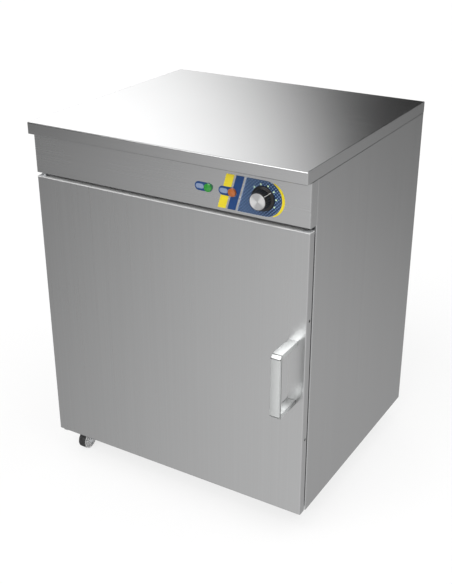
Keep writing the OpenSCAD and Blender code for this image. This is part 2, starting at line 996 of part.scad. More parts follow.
// Saddles that stand on the floor or hang from the ceiling and hold a tube of diameter d
module saddle(d, h) {
    w = d + 5;
    difference() {
        union() {
            translate([-w / 2, 0, 0])
                cube([w, 1.5, h]);
            translate([0, 0, h])
                along_y(w, 1.5);
            translate([-w / 2, 0, 0])
                cube([w, 10, 1.2]);
        }
        translate([0, -1, h])
            along_y(d + 0.2, 4);
    }
}

module retaining_clips() {
    color(bright_steel) {
        for (x = [-1.5, 1.5], y = [-1, 1])
            translate([x * element_pitch, clip_y + y * 60, liner_z0])
                saddle(element_d, element_h);
        for (y = [0.3, 0.8])
            translate([bulb_x, bulb_y0 + y * bulb_l, liner_z1])
                mirror([0, 0, 1])
                    saddle(bulb_d, liner_z1 - bulb_z);
    }
}

cover_gap = 2;

module heater_cover() {
    w = 2 * (liner_x - cover_gap);
    y0 = liner_y0 + collar_d + 2;
    d = cavity_y1 - cover_gap - y0;
    nx = floor((w - hole_pitch) / hole_pitch / 2) * 2 + 1;
    ny = floor((d - hole_pitch) / hole_pitch / 2) * 2 + 1;
    color(bright_steel)
        translate([0, y0 + d / 2, liner_z0])
            difference() {
                translate([0, 0, cover_h])
                    pan(w, d, cover_h, sheet_t, fold_r + 1);
                for (i = [0 : nx - 1], j = [0 : ny - 1])
                    translate([(i - (nx - 1) / 2) * hole_pitch, (j - (ny - 1) / 2) * hole_pitch,
                               cover_h - 2 * sheet_t])
                        cylinder(d = hole_d, h = 3 * sheet_t);
                for (s = [-1, 1])
                    translate([s * 1.5 * element_pitch - element_d, d / 2 - 2 * sheet_t, -eps])
                        cube([2 * element_d, 3 * sheet_t, element_h + element_d + eps]);
            }
}

// ---- Hinge and catch ----

strip_screw_x = strip_w / 2 - side_x + sheet_t;
joggle_d = 3;
nose_wall = 1;

function strip_screws() = [for (share = [0.3, 0.8]) frame_y + share * strip_l];

// A bracket's tongue in plan, from its blunt nose before the pin to the line y = back
module tongue(back) {
    nose = pin_d / 2 + nose_wall;
    translate([pivot_x, pivot_y - nose])
        mirror([0, 1])
            hanging_section(bracket_w, back - pivot_y + nose, bracket_w / 4);
}

// The lower bracket steps up in front of the frame, from the underside to the door's lower edge
module hinge_brackets() {
    leg_top = frame_top - sheet_t - 0.2;
    color(zinc) {
        difference() {
            union() {
                translate([0, 0, tongue_z0])
                    linear_extrude(bracket_t)
                        tongue(frame_y);
                translate([pivot_x - bracket_w / 2, frame_y - bracket_t, tongue_z0])
                    cube([bracket_w + 6, bracket_t, leg_top - tongue_z0]);
            }
            translate([pivot_x, pivot_y, tongue_z0 - 1])
                cylinder(d = pin_d + 0.04, h = bracket_t + 2);
        }
        difference() {
            union() {
                translate([0, 0, caster_h])
                    linear_extrude(bracket_t)
                        tongue(frame_y - 0.3);
                translate([pivot_x - bracket_w / 2, frame_y - joggle_d, caster_h - bracket_t])
                    cube([bracket_w, joggle_d - 0.3, 2 * bracket_t]);
                translate([sheet_t - side_x, frame_y - joggle_d, caster_h - bracket_t])
                    cube([strip_w, strip_l + joggle_d, bracket_t]);
            }
            translate([pivot_x, pivot_y, caster_h - 1])
                cylinder(d = pin_d + 0.04, h = bracket_t + 2);
            for (y = strip_screws())
                translate([strip_screw_x, y, caster_h - bracket_t - 1])
                    cylinder(d = screw_d + 0.2, h = bracket_t + 2);
        }
    }
}

// The upper pin hangs by its head and the lower one is riveted flush into its bracket
module hinge_pins() {
    upper_l = bracket_t + collar_h + pin_reach;
    color(bright_steel)
        translate([pivot_x, pivot_y, 0]) {
            translate([0, 0, tongue_z0 + bracket_t - upper_l])
                cylinder(d = pin_d, h = upper_l);
            translate([0, 0, tongue_z0 + bracket_t])
                cylinder(d = pin_head_d, h = pin_head_h);
            translate([0, 0, caster_h])
                cylinder(d = pin_d, h = door_bottom_gap + pin_reach);
        }
}

catch_x = cavity_x - 27;
catch_w = 40;
catch_h = 12;
strike_t = 3;
catch_gap = 0.2;

module magnet_catch() {
    proud = seal_gap - strike_t - catch_gap;
    color([0.9, 0.9, 0.88])
        translate([catch_x - catch_w / 2, frame_y, cavity_z1 - catch_h])
            difference() {
                union() {
                    translate([0, -proud + 1, 0])
                        cube([catch_w, collar_d - 1 + proud, catch_h]);
                    for (z = [2.5, 7])
                        translate([5, -proud, z])
                            cube([catch_w - 10, 5, 1.6]);
                }
                for (x = [5, catch_w - 5])
                    translate([x, collar_d - 5, -eps])
                        cylinder(d = 3.6, h = 4);
            }
}

// ---- Door ----

module door_skin() {
    color(steel)
        difference() {
            translate([0, front_y, door_mid])
                rotate([90, 0, 0])
                    pan(body_w, door_h, door_t, sheet_t, fold_r);
            corner_notches(front_y + sheet_t, 0);
            for (p = rivet_places())
                translate([p[0] * side_x, p[1], p[2]])
                    rotate([0, 90, 0])
                        cylinder(d = rivet_d + 0.1, h = 4 * sheet_t, center = true);
            for (z = handle_screw_heights())
                translate([handle_x, front_y - eps, z])
                    along_y(handle_screw_d + 0.3, sheet_t + 2 * eps);
        }
}

// The spaces for the corner blocks, cut through the door from y0 to its back
module corner_notches(y0, grow) {
    for (x = [-1, 1], z = [-1, 1])
        translate([x * (side_x - sheet_t - block_w / 2), 0, door_mid + z * (door_h / 2 - block_h / 2)])
            translate([-block_w / 2 - grow, y0, -block_h / 2 - grow])
                cube([block_w + 2 * grow, door_back - y0 + 1, block_h + 2 * grow]);
}

// The rivets, as side, depth and height
function rivet_places() = [
    for (x = [-1, 1], z = [-1, 1])
        [x, front_y + door_t * 0.62, door_mid + z * rivet_rise]
];

function handle_screw_heights() = [
    for (s = [-1, 1]) handle_mid + s * (handle_h - handle_t) / 2
];

door_lap = 0.1;
door_liner_d = door_t - 2.6;

// The inner panel is a second pan that nests in the outer one
module door_liner() {
    w = body_w - 2 * sheet_t - 2 * door_lap;
    h = door_h - 2 * sheet_t - 2 * door_lap;
    color(bright_steel)
        difference() {
            translate([0, door_back, door_mid])
                rotate([-90, 0, 0])
                    pan(w, h, door_liner_d, sheet_t, fold_r);
            corner_notches(front_y, 0.2);
            for (p = rivet_places())
                translate([p[0] * side_x, p[1], p[2]])
                    rotate([0, 90, 0])
                        cylinder(d = rivet_d + 0.1, h = 8, center = true);
        }
}

module door_insulation() {
    w = body_w - 2 * (sheet_t + block_w + 1);
    h = door_h - 2 * (sheet_t + block_h + 1);
    color(wool)
        difference() {
            translate([-w / 2, front_y + sheet_t, door_mid - h / 2])
                cube([w, door_t - 2 * sheet_t, h]);
            for (z = handle_screw_heights())
                translate([handle_x, front_y, z])
                    along_y(11, door_t);
        }
}

// A foot on the door's inner panel that carries a narrower sealing rib
module door_gasket() {
    lap = 3;
    foot_t = 1.6;
    mid_z = (cavity_z0 + cavity_z1) / 2;
    w = 2 * (cavity_x + lap);
    h = cavity_z1 - cavity_z0 + 2 * lap;
    rib = gasket_w / 2;
    color([0.2, 0.2, 0.21])
        translate([0, door_back, mid_z])
            upright() {
                linear_extrude(foot_t)
                    difference() {
                        rounded(w + 2 * gasket_w, h + 2 * gasket_w, 6);
                        rounded(w, h, 3);
                    }
                linear_extrude(seal_gap - 0.1)
                    difference() {
                        rounded(w + gasket_w + rib, h + gasket_w + rib, 5);
                        rounded(w + gasket_w - rib, h + gasket_w - rib, 4);
                    }
            }
}

// Blocks that close the door's corners: the two on the hinge side are bored for the pins
module corner_blocks() {
    y0 = front_y + sheet_t;
    color([0.6, 0.61, 0.62])
        difference() {
            union() {
                for (x = [-1, 1], z = [-1, 1])
                    translate([x * (side_x - sheet_t - block_w / 2), y0,
                               door_mid + z * (door_h / 2 - block_h / 2)])
                        translate([-block_w / 2, 0, -block_h / 2])
                            cube([block_w, door_back - y0, block_h]);
                translate([pivot_x, pivot_y, door_z1 - 1])
                    cylinder(d = collar_od, h = 1 + collar_h);
                translate([pivot_x, pivot_y, caster_h + bracket_t])
                    cylinder(d = collar_od, h = door_bottom_gap - bracket_t + 1);
            }
            translate([pivot_x, pivot_y, door_z1 - pin_reach - 0.5])
                cylinder(d = pin_d + 2 * running_gap, h = pin_reach + 3);
            translate([pivot_x, pivot_y, caster_h - 1])
                cylinder(d = pin_d + 2 * running_gap, h = door_bottom_gap + 1 + pin_reach + 0.5);
        }
}

module strike_plate() {
    color(zinc)
        translate([catch_x - catch_w / 2 - 2, door_back, cavity_z1 - catch_h - 1])
            cube([catch_w + 4, strike_t, catch_h + 0.5]);
}

// Flush rivets that join the two pans at the door's side edges
module door_rivets() {
    l = 3.2;
    color([0.3, 0.3, 0.31])
        for (p = rivet_places())
            translate([p[0] * (side_x - l / 2), p[1], p[2]])
                rotate([0, 90, 0])
                    difference() {
                        cylinder(d = rivet_d, h = l, center = true);
                        for (s = [-1, 1])
                            translate([0, 0, s * l / 2])
                                cylinder(d = rivet_d / 2.4, h = 1, center = true);
                    }
}

// A flat bar bent to a U, with chamfered outer corners
module door_handle() {
    c = handle_chamfer;
    t = handle_t;
    p = handle_proj;
    h = handle_h / 2;
    inner = max(0.5, c - t * (2 - sqrt(2)));
    color([0.85, 0.86, 0.87])
        difference() {
            translate([handle_x, front_y, handle_mid])
                rotate([90, 0, 90])
                    linear_extrude(handle_w, center = true)
                        polygon([
                            [0, -h], [c - p, -h], [-p, c - h],
                            [-p, h - c], [c - p, h], [0, h],
                            [0, h - t], [t - p + inner, h - t], [t - p, h - t - inner],
                            [t - p, t + inner - h], [t - p + inner, t - h], [0, t - h]
                        ]);
            for (z = handle_screw_heights())
                translate([handle_x, front_y - handle_screw_reach - 1, z])
                    along_y(handle_screw_d + 0.04, handle_screw_reach + 1 + eps);
        }
}

module handle_screws() {
    color(bright_steel)
        for (z = handle_screw_heights())
            translate([handle_x, front_y + sheet_t, z])
                rotate([-90, 0, 0])
                    pan_head_screw(handle_screw_d, 2 * handle_screw_d, 2.6,
                                   sheet_t + handle_screw_reach);
}

// ---- Knob ----

knob_seat = front_y - film_t - knob_gap;
knob_face = front_y - knob_h;
cap_t = 0.8;

module thermostat_shaft() {
    y0 = knob_face + 4;
    color(bright_steel)
        translate([knob_x, y0, control_z])
            along_y(shaft_d, front_y + sheet_t + shaft_in - 0.2 - y0);
}

// The knob points up to the right, as the scale's middle marks do
module knob() {
    grip_l = knob_seat - knob_face - skirt_t;
    color(black)
        translate([knob_x, knob_seat, control_z])
            rotate([90, 0, 0])
                difference() {
                    union() {
                        cylinder(d1 = skirt_d, d2 = skirt_d - 1.6, h = skirt_t);
                        translate([0, 0, skirt_t])
                            cylinder(d1 = grip_base_d, d2 = grip_face_d, h = grip_l - 0.3);
                    }
                    for (k = [0 : flutes - 1])
                        rotate(pointer_angle + (k + 0.5) * 360 / flutes)
                            translate([grip_base_d / 2 + 0.6, 0, skirt_t + 1])
                                cylinder(d = 2.2, h = grip_l);
                    translate([0, 0, -1])
                        cylinder(d = shaft_d + 0.04, h = skirt_t + grip_l - 3);
                    translate([0, 0, skirt_t + grip_l - 0.3 - cap_t])
                        cylinder(d = cap_d + 0.04, h = 2);
                }
}

pointer_angle = 40;

module knob_cap() {
    y = knob_face + 0.3 + cap_t;
    color([0.85, 0.85, 0.86])
        translate([knob_x, y, control_z])
            rotate([90, 0, 0]) {
                cylinder(d = cap_d, h = cap_t);
                translate([0, 0, cap_t])
                    cylinder(d1 = cap_d, d2 = cap_d - 0.6, h = 0.3);
            }
}

// ---- Casters ----

// The four swivel axes in X and Y, and how far each caster is turned: one trails to the rear
function caster_places() = [
    [-caster_x, caster_front_y, 0],
    [caster_x, caster_front_y, 180],
    [-caster_x, caster_rear_y, 0],
    [caster_x, caster_rear_y, 0]
];

// Draws what turns with a caster, as it is when the wheel trails to the front
module turned_with(p) {
    translate([p[0], p[1], 0])
        rotate(p[2])
            children();
}

// Plates with the upper race and the headed king pin
module caster_plates() {
    king_head_z = crown_z - fork_t - 0.1;
    color(bright_steel)
        for (p = caster_places())
            translate([p[0], p[1], 0])
                difference() {
                    union() {
                        translate([0, 0, caster_h - plate_t])
                            linear_extrude(plate_t)
                                rounded(plate_w, plate_w, 3);
                        translate([0, 0, crown_z])
                            cylinder(d = race_d, h = race_t);
                        translate([0, 0, king_head_z])
                            cylinder(d = king_d, h = caster_h - plate_t - king_head_z);
                        translate([0, 0, king_head_z - 1])
                            cylinder(d1 = king_d, d2 = king_d + 3, h = 1);
                    }
                    for (x = [-1, 1], y = [-1, 1])
                        translate([x * bolt_offset, y * bolt_offset, caster_h - plate_t - eps])
                            cylinder(d = bolt_d + 0.3, h = plate_t + 2 * eps);
                }
}

module caster_bolts() {
    color(bright_steel)
        for (p = caster_places(), x = [-1, 1], y = [-1, 1])
            translate([p[0] + x * bolt_offset, p[1] + y * bolt_offset, caster_h - plate_t])
                rotate([180, 0, 0])
                    pan_head_screw(bolt_d, bolt_head_d, race_t - 0.3, plate_t + sheet_t + 4);
}

// The fork's leg from the side, from its crown down to the boss round the axle
module fork_leg() {
    top = crown_z - fork_t;
    translate([-trail, wheel_r])
        circle(boss_r);
    polygon([
        [-trail - boss_r, wheel_r],
        [-trail - boss_r, top - 4],
        [-crown_reach, top],
        [race_d / 2, top],
        [race_d / 2 - 3, top - 3],
        [-trail + boss_r, wheel_r]
    ]);
}

module fork(p) {
    crown_w = 2 * (leg_x + fork_t);
    crown_l = crown_reach + race_d / 2;
    color(bright_steel)
        turned_with(p)
            difference() {
                union() {
                    translate([0, crown_l / 2 - crown_reach, crown_z - fork_t])
                        linear_extrude(fork_t)
                            rounded(crown_w, crown_l, 2);
                    for (s = [0, 1])
                        mirror([s, 0, 0])
                            translate([leg_x, 0, 0])
                                rotate([90, 0, 90])
                                    linear_extrude(fork_t)
                                        fork_leg();
                }
                translate([0, 0, crown_z - fork_t - 1])
                    cylinder(d = king_d + 2 * running_gap, h = fork_t + 2);
                translate([-leg_x - 5, -trail, wheel_r])
                    rotate([0, 90, 0])
                        cylinder(d = axle_d + 0.04, h = 2 * leg_x + 10);
            }
}

// An axle with a rivet head at each end
module axle(p) {
    half = leg_x + fork_t;
    color(zinc)
        turned_with(p)
            translate([0, -trail, wheel_r])
                rotate([0, 90, 0]) {
                    cylinder(d = axle_d, h = 2 * half, center = true);
                    for (s = [0, 1])
                        mirror([0, 0, s])
                            translate([0, 0, half])
                                cylinder(d1 = axle_d + 3, d2 = axle_d + 1, h = 1.2);
                }
}

hub_r = wheel_r - tyre_t;

// The wheel's centre: a web with a raised rim and a boss that runs on the axle
module hub(p) {
    web_w = wheel_w * 0.6;
    color([0.74, 0.75, 0.76])
        turned_with(p)
            translate([0, -trail, wheel_r])
                rotate([0, 90, 0])
                    rotate_extrude()
                        polygon([
                            [axle_d / 2 + running_gap, -leg_x + 0.2],
                            [axle_d / 2 + 2, -leg_x + 0.2],
                            [axle_d / 2 + 2.4, -web_w / 2],
                            [hub_r - 2.4, -web_w / 2],
                            [hub_r - 1.8, -wheel_w / 2],
                            [hub_r, -wheel_w / 2],
                            [hub_r, wheel_w / 2],
                            [hub_r - 1.8, wheel_w / 2],
                            [hub_r - 2.4, web_w / 2],
                            [axle_d / 2 + 2.4, web_w / 2],
                            [axle_d / 2 + 2, leg_x - 0.2],
                            [axle_d / 2 + running_gap, leg_x - 0.2]
                        ]);
}

module tyre(p) {
    shoulder = tyre_t * 0.45;
    color(black)
        turned_with(p)
            translate([0, -trail, wheel_r])
                rotate([0, 90, 0])
                    rotate_extrude()
                        polygon([
                            [hub_r + 0.01, -wheel_w / 2],
                            [wheel_r - shoulder, -wheel_w / 2],
                            [wheel_r, -wheel_w / 2 + shoulder],
                            [wheel_r, wheel_w / 2 - shoulder],
                            [wheel_r - shoulder, wheel_w / 2],
                            [hub_r + 0.01, wheel_w / 2]
                        ]);
}

worktop();
side_panel_left();
side_panel_right();
rear_panel();
base_pan();
control_fascia();
dial_film();
stripe_film();
front_frame();
liner_wrap();
liner_rear();
liner_floor();
wall_insulation();
shelf_rails();
wire_shelf();
heating_element();
retaining_clips();
heater_cover();
thermostat_body();
thermostat_bulb();
green_lens();
amber_lens();
lamp_holders();
terminal_block();
cable_gland();
gland_nut();
hinge_brackets();
hinge_pins();
magnet_catch();
panel_screws();
caster_plates();
caster_bolts();
door_skin();
door_liner();
door_insulation();
door_gasket();
corner_blocks();
strike_plate();
door_rivets();
door_handle();
handle_screws();
thermostat_shaft();
knob();
knob_cap();
fork(caster_places()[0]);  // fork_front_left
axle(caster_places()[0]);  // axle_front_left
hub(caster_places()[0]);  // hub_front_left
tyre(caster_places()[0]);  // tyre_front_left
fork(caster_places()[1]);  // fork_front_right
axle(caster_places()[1]);  // axle_front_right
hub(caster_places()[1]);  // hub_front_right
tyre(caster_places()[1]);  // tyre_front_right
fork(caster_places()[2]);  // fork_rear_left
axle(caster_places()[2]);  // axle_rear_left
hub(caster_places()[2]);  // hub_rear_left
tyre(caster_places()[2]);  // tyre_rear_left
fork(caster_places()[3]);  // fork_rear_right
axle(caster_places()[3]);  // axle_rear_right
hub(caster_places()[3]);  // hub_rear_right
tyre(caster_places()[3]);  // tyre_rear_right
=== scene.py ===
import math

import bmesh
import bpy
from mathutils import Matrix, Vector


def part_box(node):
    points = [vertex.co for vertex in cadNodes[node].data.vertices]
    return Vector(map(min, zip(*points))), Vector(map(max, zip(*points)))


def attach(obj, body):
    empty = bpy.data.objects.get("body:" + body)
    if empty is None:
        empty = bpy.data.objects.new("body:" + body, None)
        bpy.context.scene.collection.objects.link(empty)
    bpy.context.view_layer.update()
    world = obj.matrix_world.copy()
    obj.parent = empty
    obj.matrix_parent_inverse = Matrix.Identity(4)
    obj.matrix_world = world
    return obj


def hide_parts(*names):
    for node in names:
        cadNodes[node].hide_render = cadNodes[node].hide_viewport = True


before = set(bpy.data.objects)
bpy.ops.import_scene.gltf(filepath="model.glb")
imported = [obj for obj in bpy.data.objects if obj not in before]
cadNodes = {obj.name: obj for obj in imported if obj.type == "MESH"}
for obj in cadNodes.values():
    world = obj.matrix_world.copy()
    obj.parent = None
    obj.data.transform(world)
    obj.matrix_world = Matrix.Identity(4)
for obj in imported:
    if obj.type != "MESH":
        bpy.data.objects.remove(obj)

bpy.context.view_layer.update()
print("frame loaded:", len(cadNodes), "nodes")

mm = 0.001


class Wire:
    # one output socket of a node tree, so that maths on it can be written as maths
    def __init__(self, tree, socket):
        self.tree = tree
        self.socket = socket

    def other(self, name):
        return Wire(self.tree, self.socket.node.outputs[name])

    def join(self, operation, *parts):
        return self.tree.add("ShaderNodeMath", {"operation": operation}, dict(enumerate(parts)))

    def __add__(self, part):
        return self.join("ADD", self, part)

    def __radd__(self, part):
        return self.join("ADD", part, self)

    def __sub__(self, part):
        return self.join("SUBTRACT", self, part)

    def __rsub__(self, part):
        return self.join("SUBTRACT", part, self)

    def __mul__(self, part):
        return self.join("MULTIPLY", self, part)

    def __rmul__(self, part):
        return self.join("MULTIPLY", part, self)

    def __truediv__(self, part):
        return self.join("DIVIDE", self, part)

    def __pow__(self, part):
        return self.join("POWER", self, part)

    def __abs__(self):
        return self.join("ABSOLUTE", self)

    def __lt__(self, part):
        return self.join("LESS_THAN", self, part)

    def __gt__(self, part):
        return self.join("GREATER_THAN", self, part)


class Tree:
    # a shader or geometry tree, filled one node at a time
    def __init__(self, nodeTree):
        self.nodeTree = nodeTree
        nodeTree.nodes.clear()

    def add(self, kind, settings=None, sockets=None, out=0):
        node = self.nodeTree.nodes.new(kind)
        for name, value in (settings or {}).items():
            if name == "stops":
                self.fillRamp(node.color_ramp, value)
            else:
                setattr(node, name, value)
        for name, value in (sockets or {}).items():
            if isinstance(value, Wire):
                self.nodeTree.links.new(value.socket, node.inputs[name])
            else:
                node.inputs[name].default_value = value
        return Wire(self, node.outputs[out]) if len(node.outputs) else None

    def fillRamp(self, ramp, stops):
        while len(ramp.elements) < len(stops):
            ramp.elements.new(1.0)
        for element, (place, colour) in zip(ramp.elements, stops):
            element.position = place
            element.color = opaque(colour)

    def place(self):
        return self.add("ShaderNodeTexCoord").other("Object")

    def axes(self, vector):
        parts = self.add("ShaderNodeSeparateXYZ", None, {0: vector})
        return parts, parts.other("Y"), parts.other("Z")

    def stretched(self, vector, scale):
        return self.add("ShaderNodeMapping", None, {"Vector": vector, "Scale": scale})

    def noise(self, vector, scale, detail=2.0, roughness=0.5):
        return self.add(
            "ShaderNodeTexNoise", None,
            {"Vector": vector, "Scale": scale, "Detail": detail, "Roughness": roughness},
        )

    def ramp(self, value, stops):
        return self.add("ShaderNodeValToRGB", {"stops": stops}, {0: value})

    def smooth(self, value, low, high):
        return self.add(
            "ShaderNodeMapRange", {"interpolation_type": "SMOOTHSTEP"},
            {"Value": value, "From Min": low, "From Max": high, "To Min": 0.0, "To Max": 1.0},
        )

    def mixed(self, factor, first, second):
        colours = {0: factor, 6: first, 7: second}
        return self.add("ShaderNodeMix", {"data_type": "RGBA"}, colours, out=2)

    def bump(self, height, strength, distance):
        return self.add(
            "ShaderNodeBump", None, {"Height": height, "Strength": strength, "Distance": distance}
        )


def opaque(colour):
    return (*colour, 1.0)


def scaled(colour, share):
    return opaque([min(1.0, c * share) for c in colour])


def newMaterial(name, fill):
    material = bpy.data.materials.new(name)
    material.use_nodes = True
    tree = Tree(material.node_tree)
    tree.add("ShaderNodeOutputMaterial", None, {"Surface": fill(tree)})
    return material


def principled(name, sockets, build=None):
    def fill(tree):
        varied = build(tree) if build else {}
        return tree.add("ShaderNodeBsdfPrincipled", None, {**sockets, **varied})

    return newMaterial(name, fill)


# Camera, floor and light

cameraView = {
    "azimuth": 31.10,
    "elevation": 25.53,
    "roll": -0.18,
    "place": (0.7119, -1.1894, 0.9395),
    "focalPixels": 955.4,
    "framePixels": 584,
    "sensor": 36.0,
    "farthest": 100.0,
}


def placeCamera(view):
    turn = math.radians(view["azimuth"])
    rise = math.radians(view["elevation"])
    back = Vector((math.sin(turn) * math.cos(rise), -math.cos(turn) * math.cos(rise), math.sin(rise)))
    side = Vector((0, 0, 1)).cross(back).normalized()
    above = back.cross(side)
    axes = Matrix((side, above, back)).transposed() @ Matrix.Rotation(math.radians(view["roll"]), 3, "Z")
    camera = bpy.data.objects.new("camera", bpy.data.cameras.new("camera"))
    camera.matrix_world = Matrix.Translation(view["place"]) @ axes.to_4x4()
    camera.data.sensor_width = view["sensor"]
    camera.data.lens = view["focalPixels"] * view["sensor"] / view["framePixels"]
    camera.data.clip_end = view["farthest"]
    bpy.context.scene.collection.objects.link(camera)
    bpy.context.scene.camera = camera


studio = {
    # the surround that the steel mirrors: a tone for each height, and soft glows
    "base": 0.03,
    "ground": 0.24,
    "groundRange": (0.179, -0.589),
    "overhead": 1.2,
    "overheadRange": (0.6, 0.95),
    # each glow: strength, direction as azimuth and elevation, and the cosines where it begins and is full
    "glows": (
        (0.52, (161.3, -24.5), (0.47, 0.79)),
        (0.32, (62.0, -18.0), (0.71, 0.94)),
        (1.787, (-42.9, 22.9), (0.931, 1.0)),
        (0.08, (35.0, -42.0), (0.88, 0.97)),
        (0.16, (38.0, 18.0), (0.88, 0.97)),
        (0.36, (275.0, -6.0), (0.8, 0.96)),
    ),
    "floorColour": (0.9, 0.9, 0.895),
    "floorGlow": 0.76,
    "floorRadius": 12.0,
    "backdropTone": 1.0,
    "backdropHeight": 9.0,
    "segments": 96,
    # each lamp: strength, width in degrees, direction
    "lamps": (
        (1.8, 48, (196, 43)),
        (0.8, 60, (105, 36)),
        (0.5, 60, (48, 38)),
    ),
}


def towards(azimuth, elevation):
    turn, rise = math.radians(azimuth), math.radians(elevation)
    return Vector((math.sin(turn) * math.cos(rise), math.cos(turn) * math.cos(rise), math.sin(rise)))


def buildWorld(view):
    world = bpy.data.worlds.new("studio")
    world.use_nodes = True
    bpy.context.scene.world = world
    tree = Tree(world.node_tree)
    direction = tree.add("ShaderNodeTexCoord")
    height = tree.axes(direction)[2]

    tone = (
        view["base"]
        + tree.smooth(height, *view["groundRange"]) * view["ground"]
        + tree.smooth(height, *view["overheadRange"]) * view["overhead"]
    )
    for strength, direct, span in view["glows"]:
        vectors = {0: direction, 1: tuple(towards(*direct))}
        facing = tree.add("ShaderNodeVectorMath", {"operation": "DOT_PRODUCT"}, vectors, "Value")
        tone = tone + tree.smooth(facing, *span) * strength
    background = tree.add("ShaderNodeBackground", None, {"Color": tone, "Strength": 1.0})
    tree.add("ShaderNodeOutputWorld", None, {"Surface": background})


def floorFinish(view):
    # in direct view and in mirrors the floor is partly plain white, so that the shadow on it stays pale
    def fill(tree):
        seen = rays = tree.add("ShaderNodeLightPath", out="Is Camera Ray")
        for kind in ("Is Glossy Ray", "Is Transmission Ray"):
            seen = seen.join("MAXIMUM", seen, rays.other(kind))
        matt = tree.add("ShaderNodeBsdfPrincipled", None, {
            "Base Color": opaque(view["floorColour"]), "Roughness": 1.0, "Specular IOR Level": 0.0,
        })
        white = tree.add("ShaderNodeEmission")
        return tree.add("ShaderNodeMixShader", None, {0: seen * view["floorGlow"], 1: matt, 2: white})

    return newMaterial("studioFloor", fill)


def stageItem(name, shape, finish):
    mesh = bpy.data.meshes.new(name)
    shape.to_mesh(mesh)
    shape.free()
    mesh.materials.append(finish)
    item = bpy.data.objects.new(name, mesh)
    bpy.context.scene.collection.objects.link(item)
    item.visible_glossy = False  # the satin steel mirrors the graded surround instead
    return item


def buildStage(view):
    radius, rise, segments = view["floorRadius"], view["backdropHeight"], view["segments"]
    shape = bmesh.new()
    bmesh.ops.create_circle(shape, cap_ends=True, radius=radius, segments=segments)
    floor = stageItem("floor", shape, floorFinish(view))
    shape = bmesh.new()
    bmesh.ops.create_cone(shape, radius1=radius, radius2=radius, depth=rise, segments=segments)
    bmesh.ops.translate(shape, verts=shape.verts, vec=(0, 0, rise / 2))
    wall = stageItem("backdrop", shape, principled("studioBackdrop", {
        "Base Color": (0, 0, 0, 1), "Specular IOR Level": 0.0,
        "Emission Color": opaque([view["backdropTone"]] * 3), "Emission Strength": 1.0,
    }))
    wall.visible_diffuse = False
    wall.visible_shadow = False


def buildLamps(view):
    for strength, width, direct in view["lamps"]:
        lamp = bpy.data.objects.new("softLamp", bpy.data.lights.new("softLamp", "SUN"))
        lamp.data.energy = strength
        lamp.data.angle = math.radians(width)
        lamp.matrix_world = towards(*direct).to_track_quat("Z", "Y").to_matrix().to_4x4()
        bpy.context.scene.collection.objects.link(lamp)


placeCamera(cameraView)
buildWorld(studio)
buildStage(studio)
buildLamps(studio)
bpy.context.scene.view_settings.view_transform = "Standard"
print("camera, floor and light ready")


# Brushed steel: fine lines along one axis, in the tone, the gloss and the relief

brushing = {
    "lineLength": 350,  # a line's length over its width
    "coarseScale": 0.21,
    "coarseShare": 0.35,
    "cloudScale": 7.0,
    "toneSwing": 0.07,
    "lineGloss": 0.1,
    "cloudGloss": 0.05,
    "relief": 0.00004,
}


def brushed(tree, colour, roughness, along, grain=900.0, depth=0.12):
    place = tree.place()
    across = [grain] * 3
    across["xyz".index(along)] = grain / brushing["lineLength"]
    fine = tree.noise(tree.stretched(place, across), 1.0, 3.0, 0.6)
    coarse = tree.noise(tree.stretched(place, [value * brushing["coarseScale"] for value in across]), 1.0)
    cloud = tree.noise(place, brushing["cloudScale"])
    lines = fine * (1 - brushing["coarseShare"]) + coarse * brushing["coarseShare"]
    darker, lighter = (scaled(colour, 1 + side * brushing["toneSwing"]) for side in (-1, 1))
    gloss = (lines - 0.5) * brushing["lineGloss"] + (cloud - 0.5) * brushing["cloudGloss"]
    return {
        "Base Color": tree.mixed(lines, darker, lighter),
        "Roughness": gloss + roughness,
        "Normal": tree.bump(lines, depth, brushing["relief"]),
    }


def satinSteel(name, *sheet):
    return principled(name, {"Metallic": 1.0}, lambda tree: brushed(tree, *sheet))


# Door sheet: brushed upright; its folded top rim is painted a paler, mostly non-metallic colour, a painted
# light that brightens the shaded gap under the fascia

doorSheet = {
    "roughness": 0.29,
    "rimDepth": 1.4,
    "rimTone": 0.62,
    "rimMetal": 0.2,
    "rimRoughness": 0.3,
}


def doorSteel(colour, made):
    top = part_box("door_skin")[1].z

    def build(tree):
        sockets = brushed(tree, colour, made["roughness"], "z")
        height = tree.axes(tree.place())[2]
        # painted light: the top rim turns paler and less metallic, so that it shows as a lit band in the
        # shaded gap
        rim = tree.smooth(height, top - made["rimDepth"] * mm, top - made["rimDepth"] * mm / 2)
        return {
            **sockets,
            "Base Color": tree.mixed(rim, sockets["Base Color"], opaque([made["rimTone"]] * 3)),
            "Metallic": 1.0 - rim * (1.0 - made["rimMetal"]),
            "Roughness": sockets["Roughness"] + rim * made["rimRoughness"],
        }

    return principled("doorSteel", {}, build)


# Handle steel: brushed along the bar, upright on its front and from front to back on its two legs, with
# painted shade along its bends and on the lower leg near the door

handleSheet = {
    "colour": (0.76, 0.775, 0.77),
    "roughness": 0.42,
    "metal": 0.85,
    "depth": 0.1,
    "bend": 7.0,
    "chamfer": 5.0,
    "bendShadeWidth": 1.0,  # the painted shade line at each bend
    "bendShadeTone": 0.3,
    "lineRoughness": 0.1,
    "fade": (20.0, 42.0),  # painted shade: the lower leg darkens towards the door
    "doorShadeTone": 0.5,
}


